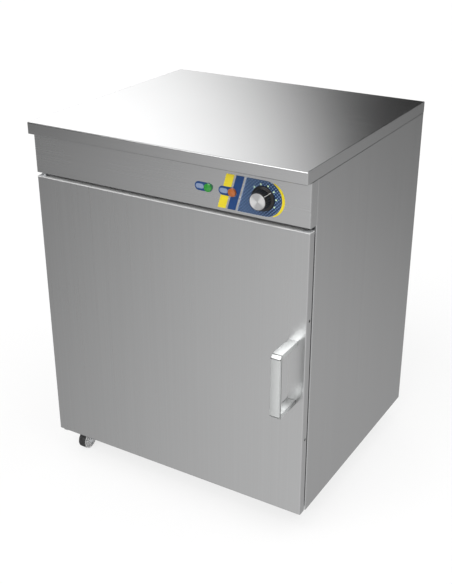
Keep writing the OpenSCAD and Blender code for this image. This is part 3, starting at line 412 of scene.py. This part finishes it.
def handleSteel(made):
    low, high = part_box("door_handle")
    middleHeight = (low.z + high.z) / 2
    chamfer, width = made["chamfer"] * mm, made["bendShadeWidth"] * mm
    sheet = made["colour"], made["roughness"]

    def build(tree):
        upright = brushed(tree, *sheet, "z", depth=made["depth"])
        inward = brushed(tree, *sheet, "y", depth=made["depth"])
        x, y, z = tree.axes(tree.place())
        leg = y > low.y + made["bend"] * mm
        shade = tree.mixed(leg, upright["Base Color"], inward["Base Color"])
        # painted shade: a darker line along each bend of the bar and the legs
        onLeg = tree.smooth(abs(y - (low.y + chamfer)), width, width / 2)
        height = abs(z - middleHeight) - (high.z - middleHeight - chamfer)
        onBar = tree.smooth(abs(height), width, width / 2) * (y < low.y + chamfer / 2)
        line = onLeg.join("MAXIMUM", onLeg, onBar)
        # painted shade: the lower leg's colour darkens towards the door
        deep = tree.smooth(y, *(low.y + depth * mm for depth in made["fade"])) * (z < middleHeight)
        shade = tree.mixed(deep, shade, scaled(made["colour"], made["doorShadeTone"]))
        gloss = upright["Roughness"] + (inward["Roughness"] - upright["Roughness"]) * leg
        return {
            "Base Color": tree.mixed(line, shade, scaled(made["colour"], made["bendShadeTone"])),
            "Roughness": gloss + line * made["lineRoughness"],
        }

    return principled("handleSteel", {"Metallic": made["metal"]}, build)


# Wool in the walls and the door

wool = {
    "fibres": (260, 900, 260),
    "fibreShare": 0.6,
    "clumps": 70.0,
    "tones": ((0.3, (0.42, 0.36, 0.2)), (0.5, (0.62, 0.56, 0.38)), (0.7, (0.74, 0.68, 0.5))),
    "bump": (0.8, 0.002),
}


def mineralWool(made):
    def build(tree):
        place = tree.place()
        fibres = tree.noise(tree.stretched(place, made["fibres"]), 1.0, 6.0, 0.7)
        clumps = tree.noise(place, made["clumps"], 4.0)
        share = made["fibreShare"]
        return {"Base Color": tree.ramp(fibres * share + clumps * (1 - share), made["tones"]),
                "Normal": tree.bump(fibres + clumps, *made["bump"])}

    return principled("mineralWool", {"Roughness": 0.95, "Sheen Weight": 0.2}, build)


# Plain finishes: tint is a noise (scale, detail) for the tones, grain a finer one for gloss and bump;
# gloss is the least roughness and its swing, bump its strength and its depth in metres

def ranging(colour, low, high):
    return (0.0, [c * low for c in colour]), (1.0, [c * high for c in colour])


def moulded(colour, roughness):
    return {"tint": (80.0, 2.0), "grain": (1500.0, 2.0), "tones": ranging(colour, 0.9, 1.1),
            "gloss": (roughness - 0.06, 0.12), "bump": (0.2, 0.00005)}


def printedInk(colour):
    return {"tint": (900.0, 2.0), "tones": ranging(colour, 0.95, 1.0), "always": {"Roughness": 0.4}}


def tintedLens(deep, pale):
    return {"tint": (300.0, 2.0), "tones": ((0.0, deep), (1.0, pale)),
            "always": {"Roughness": 0.25, "Coat Weight": 0.3, "Coat Roughness": 0.1}}


plainFinishes = {
    "zincPlate": {
        "tint": (60.0, 2.0), "grain": (420.0, 3.0), "gloss": (0.2, 0.12), "bump": (0.15, 0.00005),
        "tones": ((0.3, (0.56, 0.57, 0.59)), (0.7, (0.68, 0.69, 0.7))), "always": {"Metallic": 1.0},
    },
    "polishedWire": {
        "tint": (90.0, 3.0), "gloss": (0.08, 0.1),
        "tones": ((0.3, (0.72, 0.73, 0.74)), (0.7, (0.82, 0.83, 0.84))), "always": {"Metallic": 1.0},
    },
    "elementSheath": {
        "tint": (24.0, 2.0), "grain": (900.0, 4.0), "gloss": (0.35, 0.2), "bump": (0.3, 0.0001),
        "tones": ((0.3, (0.2, 0.19, 0.2)), (0.5, (0.3, 0.27, 0.25)), (0.7, (0.24, 0.26, 0.32))),
        "always": {"Metallic": 1.0},
    },
    "copperTube": {
        "tint": (160.0, 3.0), "gloss": (0.2, 0.2),
        "tones": ((0.35, (0.6, 0.3, 0.17)), (0.65, (0.78, 0.45, 0.3))), "always": {"Metallic": 1.0},
    },
    "treadRubber": {
        "tint": (260.0, 4.0), "grain": (1800.0, 3.0), "gloss": (0.55, 0.15), "bump": (0.3, 0.0001),
        "tones": ((0.35, (0.018, 0.018, 0.019)), (0.75, (0.045, 0.045, 0.047))), "dusty": True,
    },
    "gasketRubber": {
        "tint": (700.0, 3.0), "gloss": (0.5, 0.1), "bump": (0.15, 0.0001),
        "tones": ((0.3, (0.13, 0.13, 0.14)), (0.7, (0.19, 0.19, 0.2))),
    },
    "darkRivet": {
        "tint": (600.0, 2.0), "gloss": (0.4, 0.1),
        "tones": ((0.3, (0.02, 0.02, 0.021)), (0.7, (0.05, 0.05, 0.052))),
    },
    "blackPlastic": moulded((0.011, 0.011, 0.012), 0.3),
    "hubPlastic": moulded((0.8, 0.8, 0.8), 0.4),
    "controlCase": moulded((0.3, 0.31, 0.33), 0.45),
    "terminalPlastic": moulded((0.74, 0.73, 0.68), 0.4),
    "cornerPlastic": moulded((0.42, 0.43, 0.44), 0.42),
    "pointerInk": printedInk((0.82, 0.82, 0.8)),
    "dotInk": printedInk((0.7, 0.95, 0.6)),
    "yellowFilm": {
        "tint": (900.0, 2.0), "tones": ((0.0, (0.7, 0.56, 0.006)), (1.0, (0.76, 0.62, 0.008))),
        "always": {"Roughness": 0.32},
    },
    "greenLens": tintedLens((0.012, 0.22, 0.02), (0.03, 0.31, 0.04)),
    "amberLens": tintedLens((0.38, 0.095, 0.014), (0.48, 0.135, 0.024)),
}


def plainFinish(name):
    made = plainFinishes[name]

    def build(tree):
        place = tree.place()
        tint = tree.noise(place, *made["tint"])
        grain = tree.noise(place, *made["grain"]) if "grain" in made else tint
        sockets = {"Base Color": tree.ramp(tint, made["tones"])}
        if "gloss" in made:
            least, swing = made["gloss"]
            sockets["Roughness"] = (tint if made.get("dusty") else grain) * swing + least
        if "bump" in made:
            sockets["Normal"] = tree.bump(grain, *made["bump"])
        return sockets

    return principled(name, made.get("always", {}), build)


# Dial film: a field with a fine lattice of pale dots and a pale edge line, and a window beside each lamp

filmPrint = {
    "fieldFoot": 118.05,
    "lean": 14.0,
    "edgeLine": 0.9,
    "latticePitch": 4.6,
    "dotReach": (0.11, 0.05),  # squared radii, in pitches, where a dot begins and is full
    "lampPlaces": (73.8, 110.8),
    "windowBack": 13.3,
    "windowHalf": 2.9,
    "windowRadius": 3.3,
    "deepBlue": (0.009, 0.05, 0.18),
    "fieldBlue": (0.004, 0.02, 0.075),
    "paleBlue": (0.2, 0.33, 0.56),
    "windowTone": (0.21, 0.27, 0.41),
    "inkScale": 900.0,
    "inkTone": 0.94,
}


def blueFilm(made):
    low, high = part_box("dial_film")
    slope = made["lean"] * mm / (high.z - low.z)
    foot = made["fieldFoot"] * mm - low.z * slope
    pitch = made["latticePitch"] * mm
    pale = opaque(made["windowTone"])

    def build(tree):
        place = tree.place()
        x, y, z = tree.axes(place)
        ink = tree.noise(place, made["inkScale"])
        plain = tree.mixed(ink, scaled(made["deepBlue"], made["inkTone"]), opaque(made["deepBlue"]))
        offset = [way.join("FRACT", way / pitch) - 0.5 for way in (x + z, x - z)]
        dot = tree.smooth(offset[0] * offset[0] + offset[1] * offset[1], *made["dotReach"])
        field = tree.mixed(dot, opaque(made["fieldBlue"]), opaque(made["paleBlue"]))
        along = x - z * slope - foot
        shade = tree.mixed(along > 0.0, plain, field)
        shade = tree.mixed((along > 0.0) * (along < made["edgeLine"] * mm), shade, pale)
        height = z - (low.z + high.z) / 2
        for lampPlace in made["lampPlaces"]:
            aside = x - (lampPlace - made["windowBack"]) * mm
            beyond = abs(aside) - made["windowHalf"] * mm
            beyond = beyond.join("MAXIMUM", beyond, 0.0)
            inside = beyond * beyond + height * height < (made["windowRadius"] * mm) ** 2
            shade = tree.mixed(inside, shade, pale)
        return {"Base Color": shade}

    return principled("blueFilm", {"Roughness": 0.32, "Specular IOR Level": 0.3}, build)


# Knob cap: fine turning marks, and two fans of light painted into its colour across the cap, a painted
# highlight

capPaintedFans = {
    "angle": 15,
    "span": (0.45, 1.0),
    "share": 0.7,
    "ringScale": 4000.0,
    "darkTone": (0.52, 0.52, 0.525),
    "brightTone": (1.0, 1.0, 1.0),
    "gloss": (0.3, 0.1),
    "metal": 0.8,
}


def turnedAluminium(made):
    low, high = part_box("knob_cap")
    centre = (low + high) / 2
    lean = math.radians(made["angle"])

    def build(tree):
        x, y, z = tree.axes(tree.place())
        right, rise = x - centre.x, z - centre.z
        radius = (right * right + rise * rise) ** 0.5
        along = abs(right * math.cos(lean) + rise * math.sin(lean)) / (radius + 0.2 * mm)
        # painted highlight: two lighter fans in the cap's colour, along the lean
        paintedFan = tree.smooth(along, *made["span"])
        rings = tree.noise(tree.add("ShaderNodeCombineXYZ", None, {"X": radius * made["ringScale"]}), 1.0)
        tone = paintedFan * made["share"] + rings * (1 - made["share"])
        least, swing = made["gloss"]
        return {"Base Color": tree.mixed(tone, opaque(made["darkTone"]), opaque(made["brightTone"])),
                "Roughness": rings * swing + least}

    return principled("turnedAluminium", {"Metallic": made["metal"]}, build)


sheetColour = (0.6, 0.602, 0.604)
finishes = {
    "casing_steel": satinSteel("casingSteel", sheetColour, 0.2, "x"),
    "inner_steel": satinSteel("innerSteel", (0.66, 0.663, 0.666), 0.32, "x", 500.0, 0.06),
    "handle_steel": handleSteel(handleSheet),
    "mineral_wool": mineralWool(wool),
    "film_blue": blueFilm(filmPrint),
    "cap_aluminium": turnedAluminium(capPaintedFans),
    "zinc_plate": plainFinish("zincPlate"),
    "shelf_wire": plainFinish("polishedWire"),
    "element_sheath": plainFinish("elementSheath"),
    "copper_tube": plainFinish("copperTube"),
    "tread_rubber": plainFinish("treadRubber"),
    "gasket_rubber": plainFinish("gasketRubber"),
    "black_plastic": plainFinish("blackPlastic"),
    "hub_plastic": plainFinish("hubPlastic"),
    "control_case": plainFinish("controlCase"),
    "terminal_plastic": plainFinish("terminalPlastic"),
    "corner_plastic": plainFinish("cornerPlastic"),
    "film_yellow": plainFinish("yellowFilm"),
    "green_lens": plainFinish("greenLens"),
    "amber_lens": plainFinish("amberLens"),
}
panelFinishes = {
    "door_skin": doorSteel(sheetColour, doorSheet),
    "control_fascia": satinSteel("fasciaSteel", sheetColour, 0.26, "x"),
    "side_panel_left": satinSteel("sideSteel", sheetColour, 0.24, "z"),
    "door_rivets": plainFinish("darkRivet"),
}
panelFinishes["side_panel_right"] = panelFinishes["side_panel_left"]

recordSlots = {}
for name, node in cadNodes.items():
    for slot in node.material_slots:
        recordSlots[name] = slot.material.name
        slot.material = panelFinishes.get(name, finishes[slot.material.name])
print("finishes on the carried-over nodes")


# Pieces: shared ways to make them

def camelCase(words):
    first, *others = words.split("_")
    return first + "".join(word.capitalize() for word in others)


def addPiece(name, mesh, slotName, body, *stands, finish=None):
    mesh.name = name
    mesh.materials.clear()
    mesh.materials.append(finish or finishes[slotName])
    piece = bpy.data.objects.new(name, mesh)
    bpy.context.scene.collection.objects.link(piece)
    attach(piece, body)
    if stands:
        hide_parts(*stands)


def meshFrom(shape, sharpAngle=35):
    mesh = bpy.data.meshes.new("piece")
    shape.to_mesh(mesh)
    shape.free()
    mesh.shade_smooth()
    mesh.set_sharp_from_angle(angle=math.radians(sharpAngle))
    return mesh


def bevelSharp(shape, width, segments=2, leastAngle=32):
    sharp = [e for e in shape.edges if e.is_manifold and e.calc_face_angle(0) > math.radians(leastAngle)]
    bmesh.ops.bevel(shape, geom=sharp, offset=width, segments=segments, profile=0.5, affect="EDGES")


def joinRings(shape, rings, closed=False):
    # quads between neighbouring rings of vertices; closed joins the last ring to the first
    for low, high in zip(rings, rings[1:] + (rings[:1] if closed else [])):
        for k in range(len(low)):
            following = (k + 1) % len(low)
            shape.faces.new((low[k], low[following], high[following], high[k]))


def lathe(profile, turns=64, flute=None, closed=False):
    # profile: distance along the axis, radius and, where it is fluted, the flutes' share; it runs along +Z
    shape = bmesh.new()
    rings = []
    for rise, radius, *share in profile:
        ring = []
        for k in range(turns):
            angle = 2 * math.pi * k / turns
            reach = radius - (flute(angle) * share[0] if share else 0)
            ring.append(shape.verts.new((reach * math.cos(angle), reach * math.sin(angle), rise)))
        rings.append(ring)
    joinRings(shape, rings, closed)
    if not closed:
        shape.faces.new(list(reversed(rings[0])))
        shape.faces.new(rings[-1])
    return shape


def placed(shape, origin, along):
    # turns a solid made along +Z to an axis and puts it in its place
    turn = Vector(along).to_track_quat("Z", "Y").to_matrix().to_4x4()
    bmesh.ops.transform(shape, matrix=Matrix.Translation(origin) @ turn, verts=shape.verts)
    return shape


def middle(node):
    low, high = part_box(node)
    return (low + high) / 2


# Geometry Nodes: a ring or a grid of one small form

class FormTree(Tree):
    kinds = {"int": "NodeSocketInt", "float": "NodeSocketFloat", "vector": "NodeSocketVector"}

    def __init__(self, name, inputs):
        group = bpy.data.node_groups.new(name, "GeometryNodeTree")
        super().__init__(group)
        for label, kind in {**inputs, "Form": "vector", "Place": "vector", "Turn": "vector"}.items():
            group.interface.new_socket(name=label, in_out="INPUT", socket_type=self.kinds[kind])
        group.interface.new_socket(name="Geometry", in_out="OUTPUT", socket_type="NodeSocketGeometry")
        self.given = self.add("NodeGroupInput")

    def input(self, label):
        return self.given.other(label)

    def finish(self, points, form, finish, turn=(0.0, 0.0, 0.0)):
        spread = self.add(
            "GeometryNodeInstanceOnPoints", None, {"Points": points, "Instance": form, "Rotation": turn}
        )
        turned = self.add(
            "GeometryNodeTransform", None,
            {"Geometry": spread, "Translation": self.input("Place"), "Rotation": self.input("Turn")},
        )
        real = self.add("GeometryNodeRealizeInstances", None, {"Geometry": turned})
        painted = self.add("GeometryNodeSetMaterial", None, {"Geometry": real, "Material": finish})
        self.add("NodeGroupOutput", None, {"Geometry": painted})
        return self.nodeTree


ringInputs = {"Count": "int", "Ring": "float", "First": "float", "Step": "float"}
gridInputs = {"Columns": "int", "Rows": "int", "Width": "float", "Depth": "float"}


def ringPoints(tree):
    # points on a circle, and the turn that makes a form on each of them look outwards
    index = tree.add("GeometryNodeInputIndex")
    angle = index * tree.input("Step") + tree.input("First")
    spot = tree.add("ShaderNodeCombineXYZ", None, {
        "X": angle.join("COSINE", angle) * tree.input("Ring"),
        "Y": angle.join("SINE", angle) * tree.input("Ring"),
    })
    points = tree.add("GeometryNodePoints", None, {"Count": tree.input("Count"), "Position": spot})
    return points, tree.add("ShaderNodeCombineXYZ", None, {"Z": angle})


def gridPoints(tree):
    return tree.add("GeometryNodeMeshGrid", None, {
        "Size X": tree.input("Width"), "Size Y": tree.input("Depth"),
        "Vertices X": tree.input("Columns"), "Vertices Y": tree.input("Rows"),
    }, "Mesh")


def growMesh(group, values):
    holder = bpy.data.objects.new("holder", bpy.data.meshes.new("holder"))
    bpy.context.scene.collection.objects.link(holder)
    modifier = holder.modifiers.new("form", "NODES")
    modifier.node_group = group
    for item in group.interface.items_tree:
        if item.in_out == "INPUT":
            modifier[item.identifier] = values[item.name]
    graph = bpy.context.evaluated_depsgraph_get()
    mesh = bpy.data.meshes.new_from_object(holder.evaluated_get(graph))
    holder.modifiers.clear()
    bpy.data.objects.remove(holder)
    return mesh


# Handle: a flat bar bent to a U, its chamfered corners and its edges broken

handle = {
    "barThickness": 6.8,
    "chamfer": 5.0,
    "innerChamfer": 1.1,
    "edgeRadius": 0.7,
}


def buildHandle(made):
    low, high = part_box("door_handle")
    thick, outer, inner = (made[key] * mm for key in ("barThickness", "chamfer", "innerChamfer"))
    front, back = low.y, high.y
    outline = [
        (back, low.z), (front + outer, low.z), (front, low.z + outer),
        (front, high.z - outer), (front + outer, high.z), (back, high.z),
        (back, high.z - thick), (front + thick + inner, high.z - thick),
        (front + thick, high.z - thick - inner), (front + thick, low.z + thick + inner),
        (front + thick + inner, low.z + thick), (back, low.z + thick),
    ]
    shape = bmesh.new()
    left, right = ([shape.verts.new((x, y, z)) for y, z in outline] for x in (low.x, high.x))
    shape.faces.new(left)
    shape.faces.new(list(reversed(right)))
    joinRings(shape, [left, right])
    bmesh.ops.recalc_face_normals(shape, faces=shape.faces)
    bevelSharp(shape, made["edgeRadius"] * mm, 3, 20)
    addPiece("handleBar", meshFrom(shape, 40), "handle_steel", "door", "door_handle")


buildHandle(handle)
print("handle built")


# Knob: a skirt and a fluted grip, a white pointer line and a turned cap

knob = {
    # height over the fascia, radius, and the flutes' share
    "outline": (
        (0.0, 16.6), (0.25, 17.0), (1.2, 16.75), (2.0, 16.2), (2.4, 15.6), (2.45, 14.0),
        (2.75, 13.6, 0.3), (3.4, 13.5, 1.0), (8.65, 12.975, 1.0), (14.0, 12.45, 1.0), (14.5, 12.3, 0.5),
        (14.8, 11.95), (14.9, 11.65), (14.9, 11.4), (13.7, 11.35),
    ),
    "height": 14.9,
    "turns": 192,
    "flutes": 24,
    "fluteDepth": 0.75,
    "fluteCrest": 1.6,
    "pointerAngle": 40,
    "pointerWidth": 0.6,
    "pointerDepth": 0.3,
    "pointerPath": (
        (0.25, 17.02), (2.42, 15.85), (2.9, 13.64), (14.0, 12.55), (14.93, 11.7), (14.93, 11.5),
    ),
}


def buildKnob(made):
    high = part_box("knob")[1]
    seat = middle("knob")
    seat.y = high.y
    turn = math.radians(made["pointerAngle"])

    def flute(angle):
        wave = 0.5 - 0.5 * math.cos(made["flutes"] * (angle - turn))
        return wave ** made["fluteCrest"] * made["fluteDepth"] * mm

    profile = [(rise * mm, radius * mm, *share) for rise, radius, *share in made["outline"]]
    shape = placed(lathe(profile, made["turns"], flute), seat, (0, -1, 0))
    addPiece("knobGrip", meshFrom(shape, 40), "black_plastic", "control_knob", "knob")


def buildPointer(made):
    # a thin inlay that runs up the grip's side, from the skirt to the face
    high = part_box("knob")[1]
    centre = middle("knob")
    turn = math.radians(made["pointerAngle"])
    half, depth = made["pointerWidth"] * mm / 2, made["pointerDepth"] * mm
    shape = bmesh.new()
    rings = []
    for rise, radius in made["pointerPath"]:
        onFace = rise > made["height"]
        rings.append([
            shape.verts.new((
                centre.x + (radius * mm - sink) * math.cos(turn) - side * half * math.sin(turn),
                high.y - rise * mm + (sink if onFace else 0),
                centre.z + (radius * mm - sink) * math.sin(turn) + side * half * math.cos(turn),
            )) for side, sink in ((-1, 0.0), (1, 0.0), (1, depth), (-1, depth))
        ])
    joinRings(shape, rings)
    shape.faces.new(rings[0])
    shape.faces.new(rings[-1])
    bmesh.ops.recalc_face_normals(shape, faces=shape.faces)
    addPiece("knobPointer", meshFrom(shape), "black_plastic", "control_knob",
             finish=plainFinish("pointerInk"))


cap = {
    "grooves": 26,
    "grooveDepth": 0.05,
    "rim": 0.35,
    "border": 1.25,
    "sunk": 0.12,
    "turns": 96,
}


def buildKnobCap(made):
    low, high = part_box("knob_cap")
    centre = (low + high) / 2
    radius, depth = high.x - centre.x, high.y - low.y
    rim, floor = made["rim"] * mm, depth - made["sunk"] * mm
    profile = [(0.0, radius - 0.1 * mm), (depth - rim, radius - 0.02 * mm), (depth, radius - rim)]
    step = (radius - rim - made["border"] * mm) / made["grooves"]
    for k in range(made["grooves"]):
        edge = radius - rim - 0.5 * mm - k * step
        profile += [(floor, edge), (floor - made["grooveDepth"] * mm, edge - step / 2)]
    shape = placed(lathe(profile, made["turns"]), (centre.x, high.y, centre.z), (0, -1, 0))
    addPiece("knobCap", meshFrom(shape, 60), "cap_aluminium", "control_knob", "knob_cap")


buildKnob(knob)
buildPointer(knob)
buildKnobCap(cap)
print("knob built")


# Dial print: the scale's dots on the film

scaleDots = {
    "count": 6,
    "ring": 18.7,
    "radius": 1.2,
    "firstAngle": 135.0,
    "step": -33.0,
    "inkDepth": 0.04,
    "sides": 20,
}


def buildScaleDots(made):
    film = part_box("dial_film")[0]
    centre = middle("knob_cap")
    tree = FormTree("scaleDots", ringInputs)
    points, turn = ringPoints(tree)
    radius, _, depth = tree.axes(tree.input("Form"))
    dot = tree.add("GeometryNodeMeshCylinder", None,
                   {"Vertices": made["sides"], "Radius": radius, "Depth": depth})
    ink = plainFinish("dotInk")
    mesh = growMesh(tree.finish(points, dot, ink, turn), {
        "Count": made["count"], "Ring": made["ring"] * mm,
        "First": math.radians(made["firstAngle"]), "Step": math.radians(made["step"]),
        "Form": (made["radius"] * mm, 0, made["inkDepth"] * mm),
        "Place": (centre.x, film.y - made["inkDepth"] * mm / 2, centre.z),
        "Turn": (math.radians(90), 0, 0),
    })
    addPiece("scaleDots", mesh, "film_blue", "cabinet", finish=ink)


buildScaleDots(scaleDots)
print("dial print built")


# Softened copies of pressed, cast or turned pieces: body, node and how far its edges are broken

corners = ("front_left", "front_right", "rear_left", "rear_right")
brokenEdges = {
    "cabinet": {"hinge_brackets": 0.3, "cable_gland": 0.4, "gland_nut": 0.4, "thermostat_body": 0.5,
                "terminal_block": 0.4, "magnet_catch": 0.3, "caster_plates": 0.25},
    "door": {"corner_blocks": 0.4, "strike_plate": 0.25},
}
for corner in corners:
    brokenEdges["caster_" + corner] = {"fork_" + corner: 0.3}
    brokenEdges["wheel_" + corner] = {"tyre_" + corner: 0.2}
weldDistance = 0.005


def softenedCopy(node, body, width):
    shape = bmesh.new()
    shape.from_mesh(cadNodes[node].data)
    bmesh.ops.remove_doubles(shape, verts=shape.verts, dist=weldDistance * mm)
    bmesh.ops.dissolve_limit(shape, angle_limit=math.radians(1), verts=shape.verts, edges=shape.edges)
    bevelSharp(shape, width * mm)
    addPiece(camelCase(node), meshFrom(shape), recordSlots[node], body, node)


for body, widths in brokenEdges.items():
    for node, width in widths.items():
        softenedCopy(node, body, width)
print("edges broken")


# Wheel centres: a dished disc with a boss and ribs

wheel = {
    "ribs": 6,
    "ribThickness": 1.2,
    "ribDepth": 0.9,
    "ribSeat": 0.6,
    "firstRib": 30,
    "rim": 1.9,
    "dish": 1.8,
    "boss": 4.6,
    "bore": 2.55,
    "lip": 0.7,
    "lipStand": 0.15,
    "turns": 72,
}


def buildHub(corner, made):
    low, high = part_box("hub_" + corner)
    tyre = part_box("tyre_" + corner)
    centre = (low + high) / 2
    outer, reach = (high.z - low.z) / 2, (high.x - low.x) / 2
    half = (tyre[1].x - tyre[0].x) / 2
    rim, dish, boss, bore = (made[key] * mm for key in ("rim", "dish", "boss", "bore"))
    lip, stand = outer + made["lip"] * mm, half + made["lipStand"] * mm
    profile = [
        (-reach, bore), (-reach, boss - 0.4 * mm), (-reach + 0.4 * mm, boss),
        (-half + dish, boss + 0.3 * mm), (-half + dish, outer - rim - 0.5 * mm),
        (-half + 0.3 * mm, outer - rim),
        (-half, outer - rim + 0.4 * mm), (-stand, outer), (-stand, lip), (-half + 0.1 * mm, lip),
        (-half + 0.2 * mm, outer),
    ]
    profile += [(-rise, radius) for rise, radius in reversed(profile)]
    shape = lathe(profile, made["turns"], closed=True)
    bmesh.ops.recalc_face_normals(shape, faces=shape.faces)
    placed(shape, centre, (1, 0, 0))
    slotName, body, word = "hub_plastic", "wheel_" + corner, camelCase("_" + corner)
    addPiece("wheelCentre" + word, meshFrom(shape), slotName, body, "hub_" + corner)

    tree = FormTree("wheelRibs" + word, ringInputs)
    points, turn = ringPoints(tree)
    rib = tree.add("GeometryNodeMeshCube", None, {"Size": tree.input("Form")})
    length = outer - rim - boss
    depth = 2 * (half - dish) + 2 * made["ribDepth"] * mm
    mesh = growMesh(tree.finish(points, rib, finishes[slotName], turn), {
        "Count": made["ribs"], "Ring": boss + length / 2,
        "First": math.radians(made["firstRib"]), "Step": 2 * math.pi / made["ribs"],
        "Form": (length + made["ribSeat"] * mm, made["ribThickness"] * mm, depth),
        "Place": tuple(centre), "Turn": (0, math.radians(90), 0),
    })
    addPiece("wheelRibs" + word, mesh, slotName, body)


for corner in corners:
    buildHub(corner, wheel)
print("wheels built")


# Lamps: a domed lens with fine prisms inside a rim

lamp = {
    "neckShare": 0.8,
    "neckLength": 1.2,
    "rimWidth": 1.1,
    "rimRise": 0.3,
    "dome": 0.9,
    "prisms": 6,
    "prismDepth": 0.05,
    "turns": 48,
}


def buildLens(node, made):
    low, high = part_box(node)
    centre = (low + high) / 2
    radius, depth = high.x - centre.x, high.y - low.y
    neck, rimRise, dome, prism = (made[key] * mm for key in ("neckLength", "rimRise", "dome", "prismDepth"))
    rim, top = radius - made["rimWidth"] * mm, depth - dome
    profile = [
        (0.0, radius * made["neckShare"]), (neck, radius * made["neckShare"]), (neck, radius),
        (top, radius - 0.1 * mm), (top + rimRise, radius - 0.4 * mm), (top + rimRise, rim),
    ]
    for k in range(made["prisms"]):
        share = k / made["prisms"]
        profile.append((top + dome * (1 - (1 - share) ** 2) - prism, rim * (1 - share) - prism))
    shape = placed(lathe(profile, made["turns"]), (centre.x, high.y, centre.z), (0, -1, 0))
    addPiece(node.split("_")[0] + "LampLens", meshFrom(shape, 40), node, "cabinet", node)


for node in ("green_lens", "amber_lens"):
    buildLens(node, lamp)
print("lamps built")


# Rear vents: a pressed lip round each slot

vents = {
    "slots": 19,
    "pitch": 11.0,
    "length": 34.0,
    "width": 4.0,
    "stand": 0.5,
    "lip": 0.45,
    "lipSides": 8,
    "endSteps": 6,
    "fromTerminals": 4.0,
}


def buildVentLips(made):
    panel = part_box("rear_panel")[1]
    centre = middle("knob_cap")
    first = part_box("terminal_block")[1].x + made["fromTerminals"] * mm
    tree = FormTree("ventLips", gridInputs)
    width, length, lip = tree.axes(tree.input("Form"))
    outline = tree.add("GeometryNodeCurvePrimitiveQuadrilateral", None, {"Width": width, "Height": length})
    rounded = tree.add("GeometryNodeFilletCurve", {"mode": "POLY"},
                       {"Curve": outline, "Radius": width * 0.499, "Count": made["endSteps"]})
    section = tree.add("GeometryNodeCurvePrimitiveCircle", None,
                       {"Resolution": made["lipSides"], "Radius": lip}, "Curve")
    tube = tree.add("GeometryNodeCurveToMesh", None, {"Curve": rounded, "Profile Curve": section})
    span = (made["slots"] - 1) * made["pitch"] * mm
    stand = made["stand"]
    mesh = growMesh(tree.finish(gridPoints(tree), tube, finishes["inner_steel"]), {
        "Columns": made["slots"], "Rows": 1, "Width": span, "Depth": 0.0,
        "Form": ((made["width"] + stand) * mm, (made["length"] + stand) * mm, made["lip"] * mm),
        "Place": (first + span / 2, panel.y, centre.z), "Turn": (math.radians(90), 0, 0),
    })
    mesh.shade_smooth()
    addPiece("ventLips", mesh, "inner_steel", "cabinet")


buildVentLips(vents)
print("vents built")


# Gasket: a foot, a folded neck and a soft head, swept round the door and mitred at its corners

gasket = {
    "halfWidth": 4.5,
    "section": (
        (-4.5, 0.0), (-4.5, 0.7), (-3.9, 1.2), (-2.1, 1.3), (-1.4, 1.9), (-1.9, 2.5), (-2.3, 3.1),
        (-2.3, 4.5), (-1.9, 5.0), (1.9, 5.0), (2.3, 4.5), (2.3, 3.1), (1.9, 2.5), (1.4, 1.9),
        (2.1, 1.3), (3.9, 1.2), (4.5, 0.7), (4.5, 0.0),
    ),
}


def buildGasket(made):
    low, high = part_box("door_gasket")
    centre = (low + high) / 2
    half = made["halfWidth"] * mm
    aside, rise = high.x - centre.x - half, high.z - centre.z - half
    shape = bmesh.new()
    rings = [[
        shape.verts.new((centre.x + right * (aside + across * mm), low.y + up * mm,
                         centre.z + above * (rise + across * mm)))
        for across, up in made["section"]
    ] for right, above in ((-1, -1), (1, -1), (1, 1), (-1, 1))]
    joinRings(shape, rings, closed=True)
    bmesh.ops.recalc_face_normals(shape, faces=shape.faces)
    addPiece("gasketStrip", meshFrom(shape, 30), "gasket_rubber", "door", "door_gasket")


# Shelf: a spot weld wherever a wire crosses a rod

shelf = {
    "wires": 15,
    "rods": 4,
    "rodWidth": 6.0,
    "beadRise": 5.1,
    "bead": (1.5, 2.1, 1.0),
}


def buildShelfWelds(made):
    low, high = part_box("wire_shelf")
    centre = (low + high) / 2
    rod = made["rodWidth"] * mm
    tree = FormTree("shelfWelds", gridInputs)
    ball = tree.add("GeometryNodeMeshIcoSphere", None, {"Radius": 1.0, "Subdivisions": 2})
    bead = tree.add("GeometryNodeTransform", None, {"Geometry": ball, "Scale": tree.input("Form")})
    pitch = (high.x - low.x - 2 * rod) / (made["wires"] + 1)
    mesh = growMesh(tree.finish(gridPoints(tree), bead, finishes["shelf_wire"]), {
        "Columns": made["wires"], "Rows": made["rods"], "Width": pitch * (made["wires"] - 1),
        "Depth": high.y - low.y - rod, "Form": tuple(part * mm for part in made["bead"]),
        "Place": (centre.x, centre.y, low.z + made["beadRise"] * mm), "Turn": (0.0, 0.0, 0.0),
    })
    mesh.shade_smooth()
    addPiece("shelfWelds", mesh, "shelf_wire", "cabinet")


buildGasket(gasket)
buildShelfWelds(shelf)
print("gasket and shelf welds built")
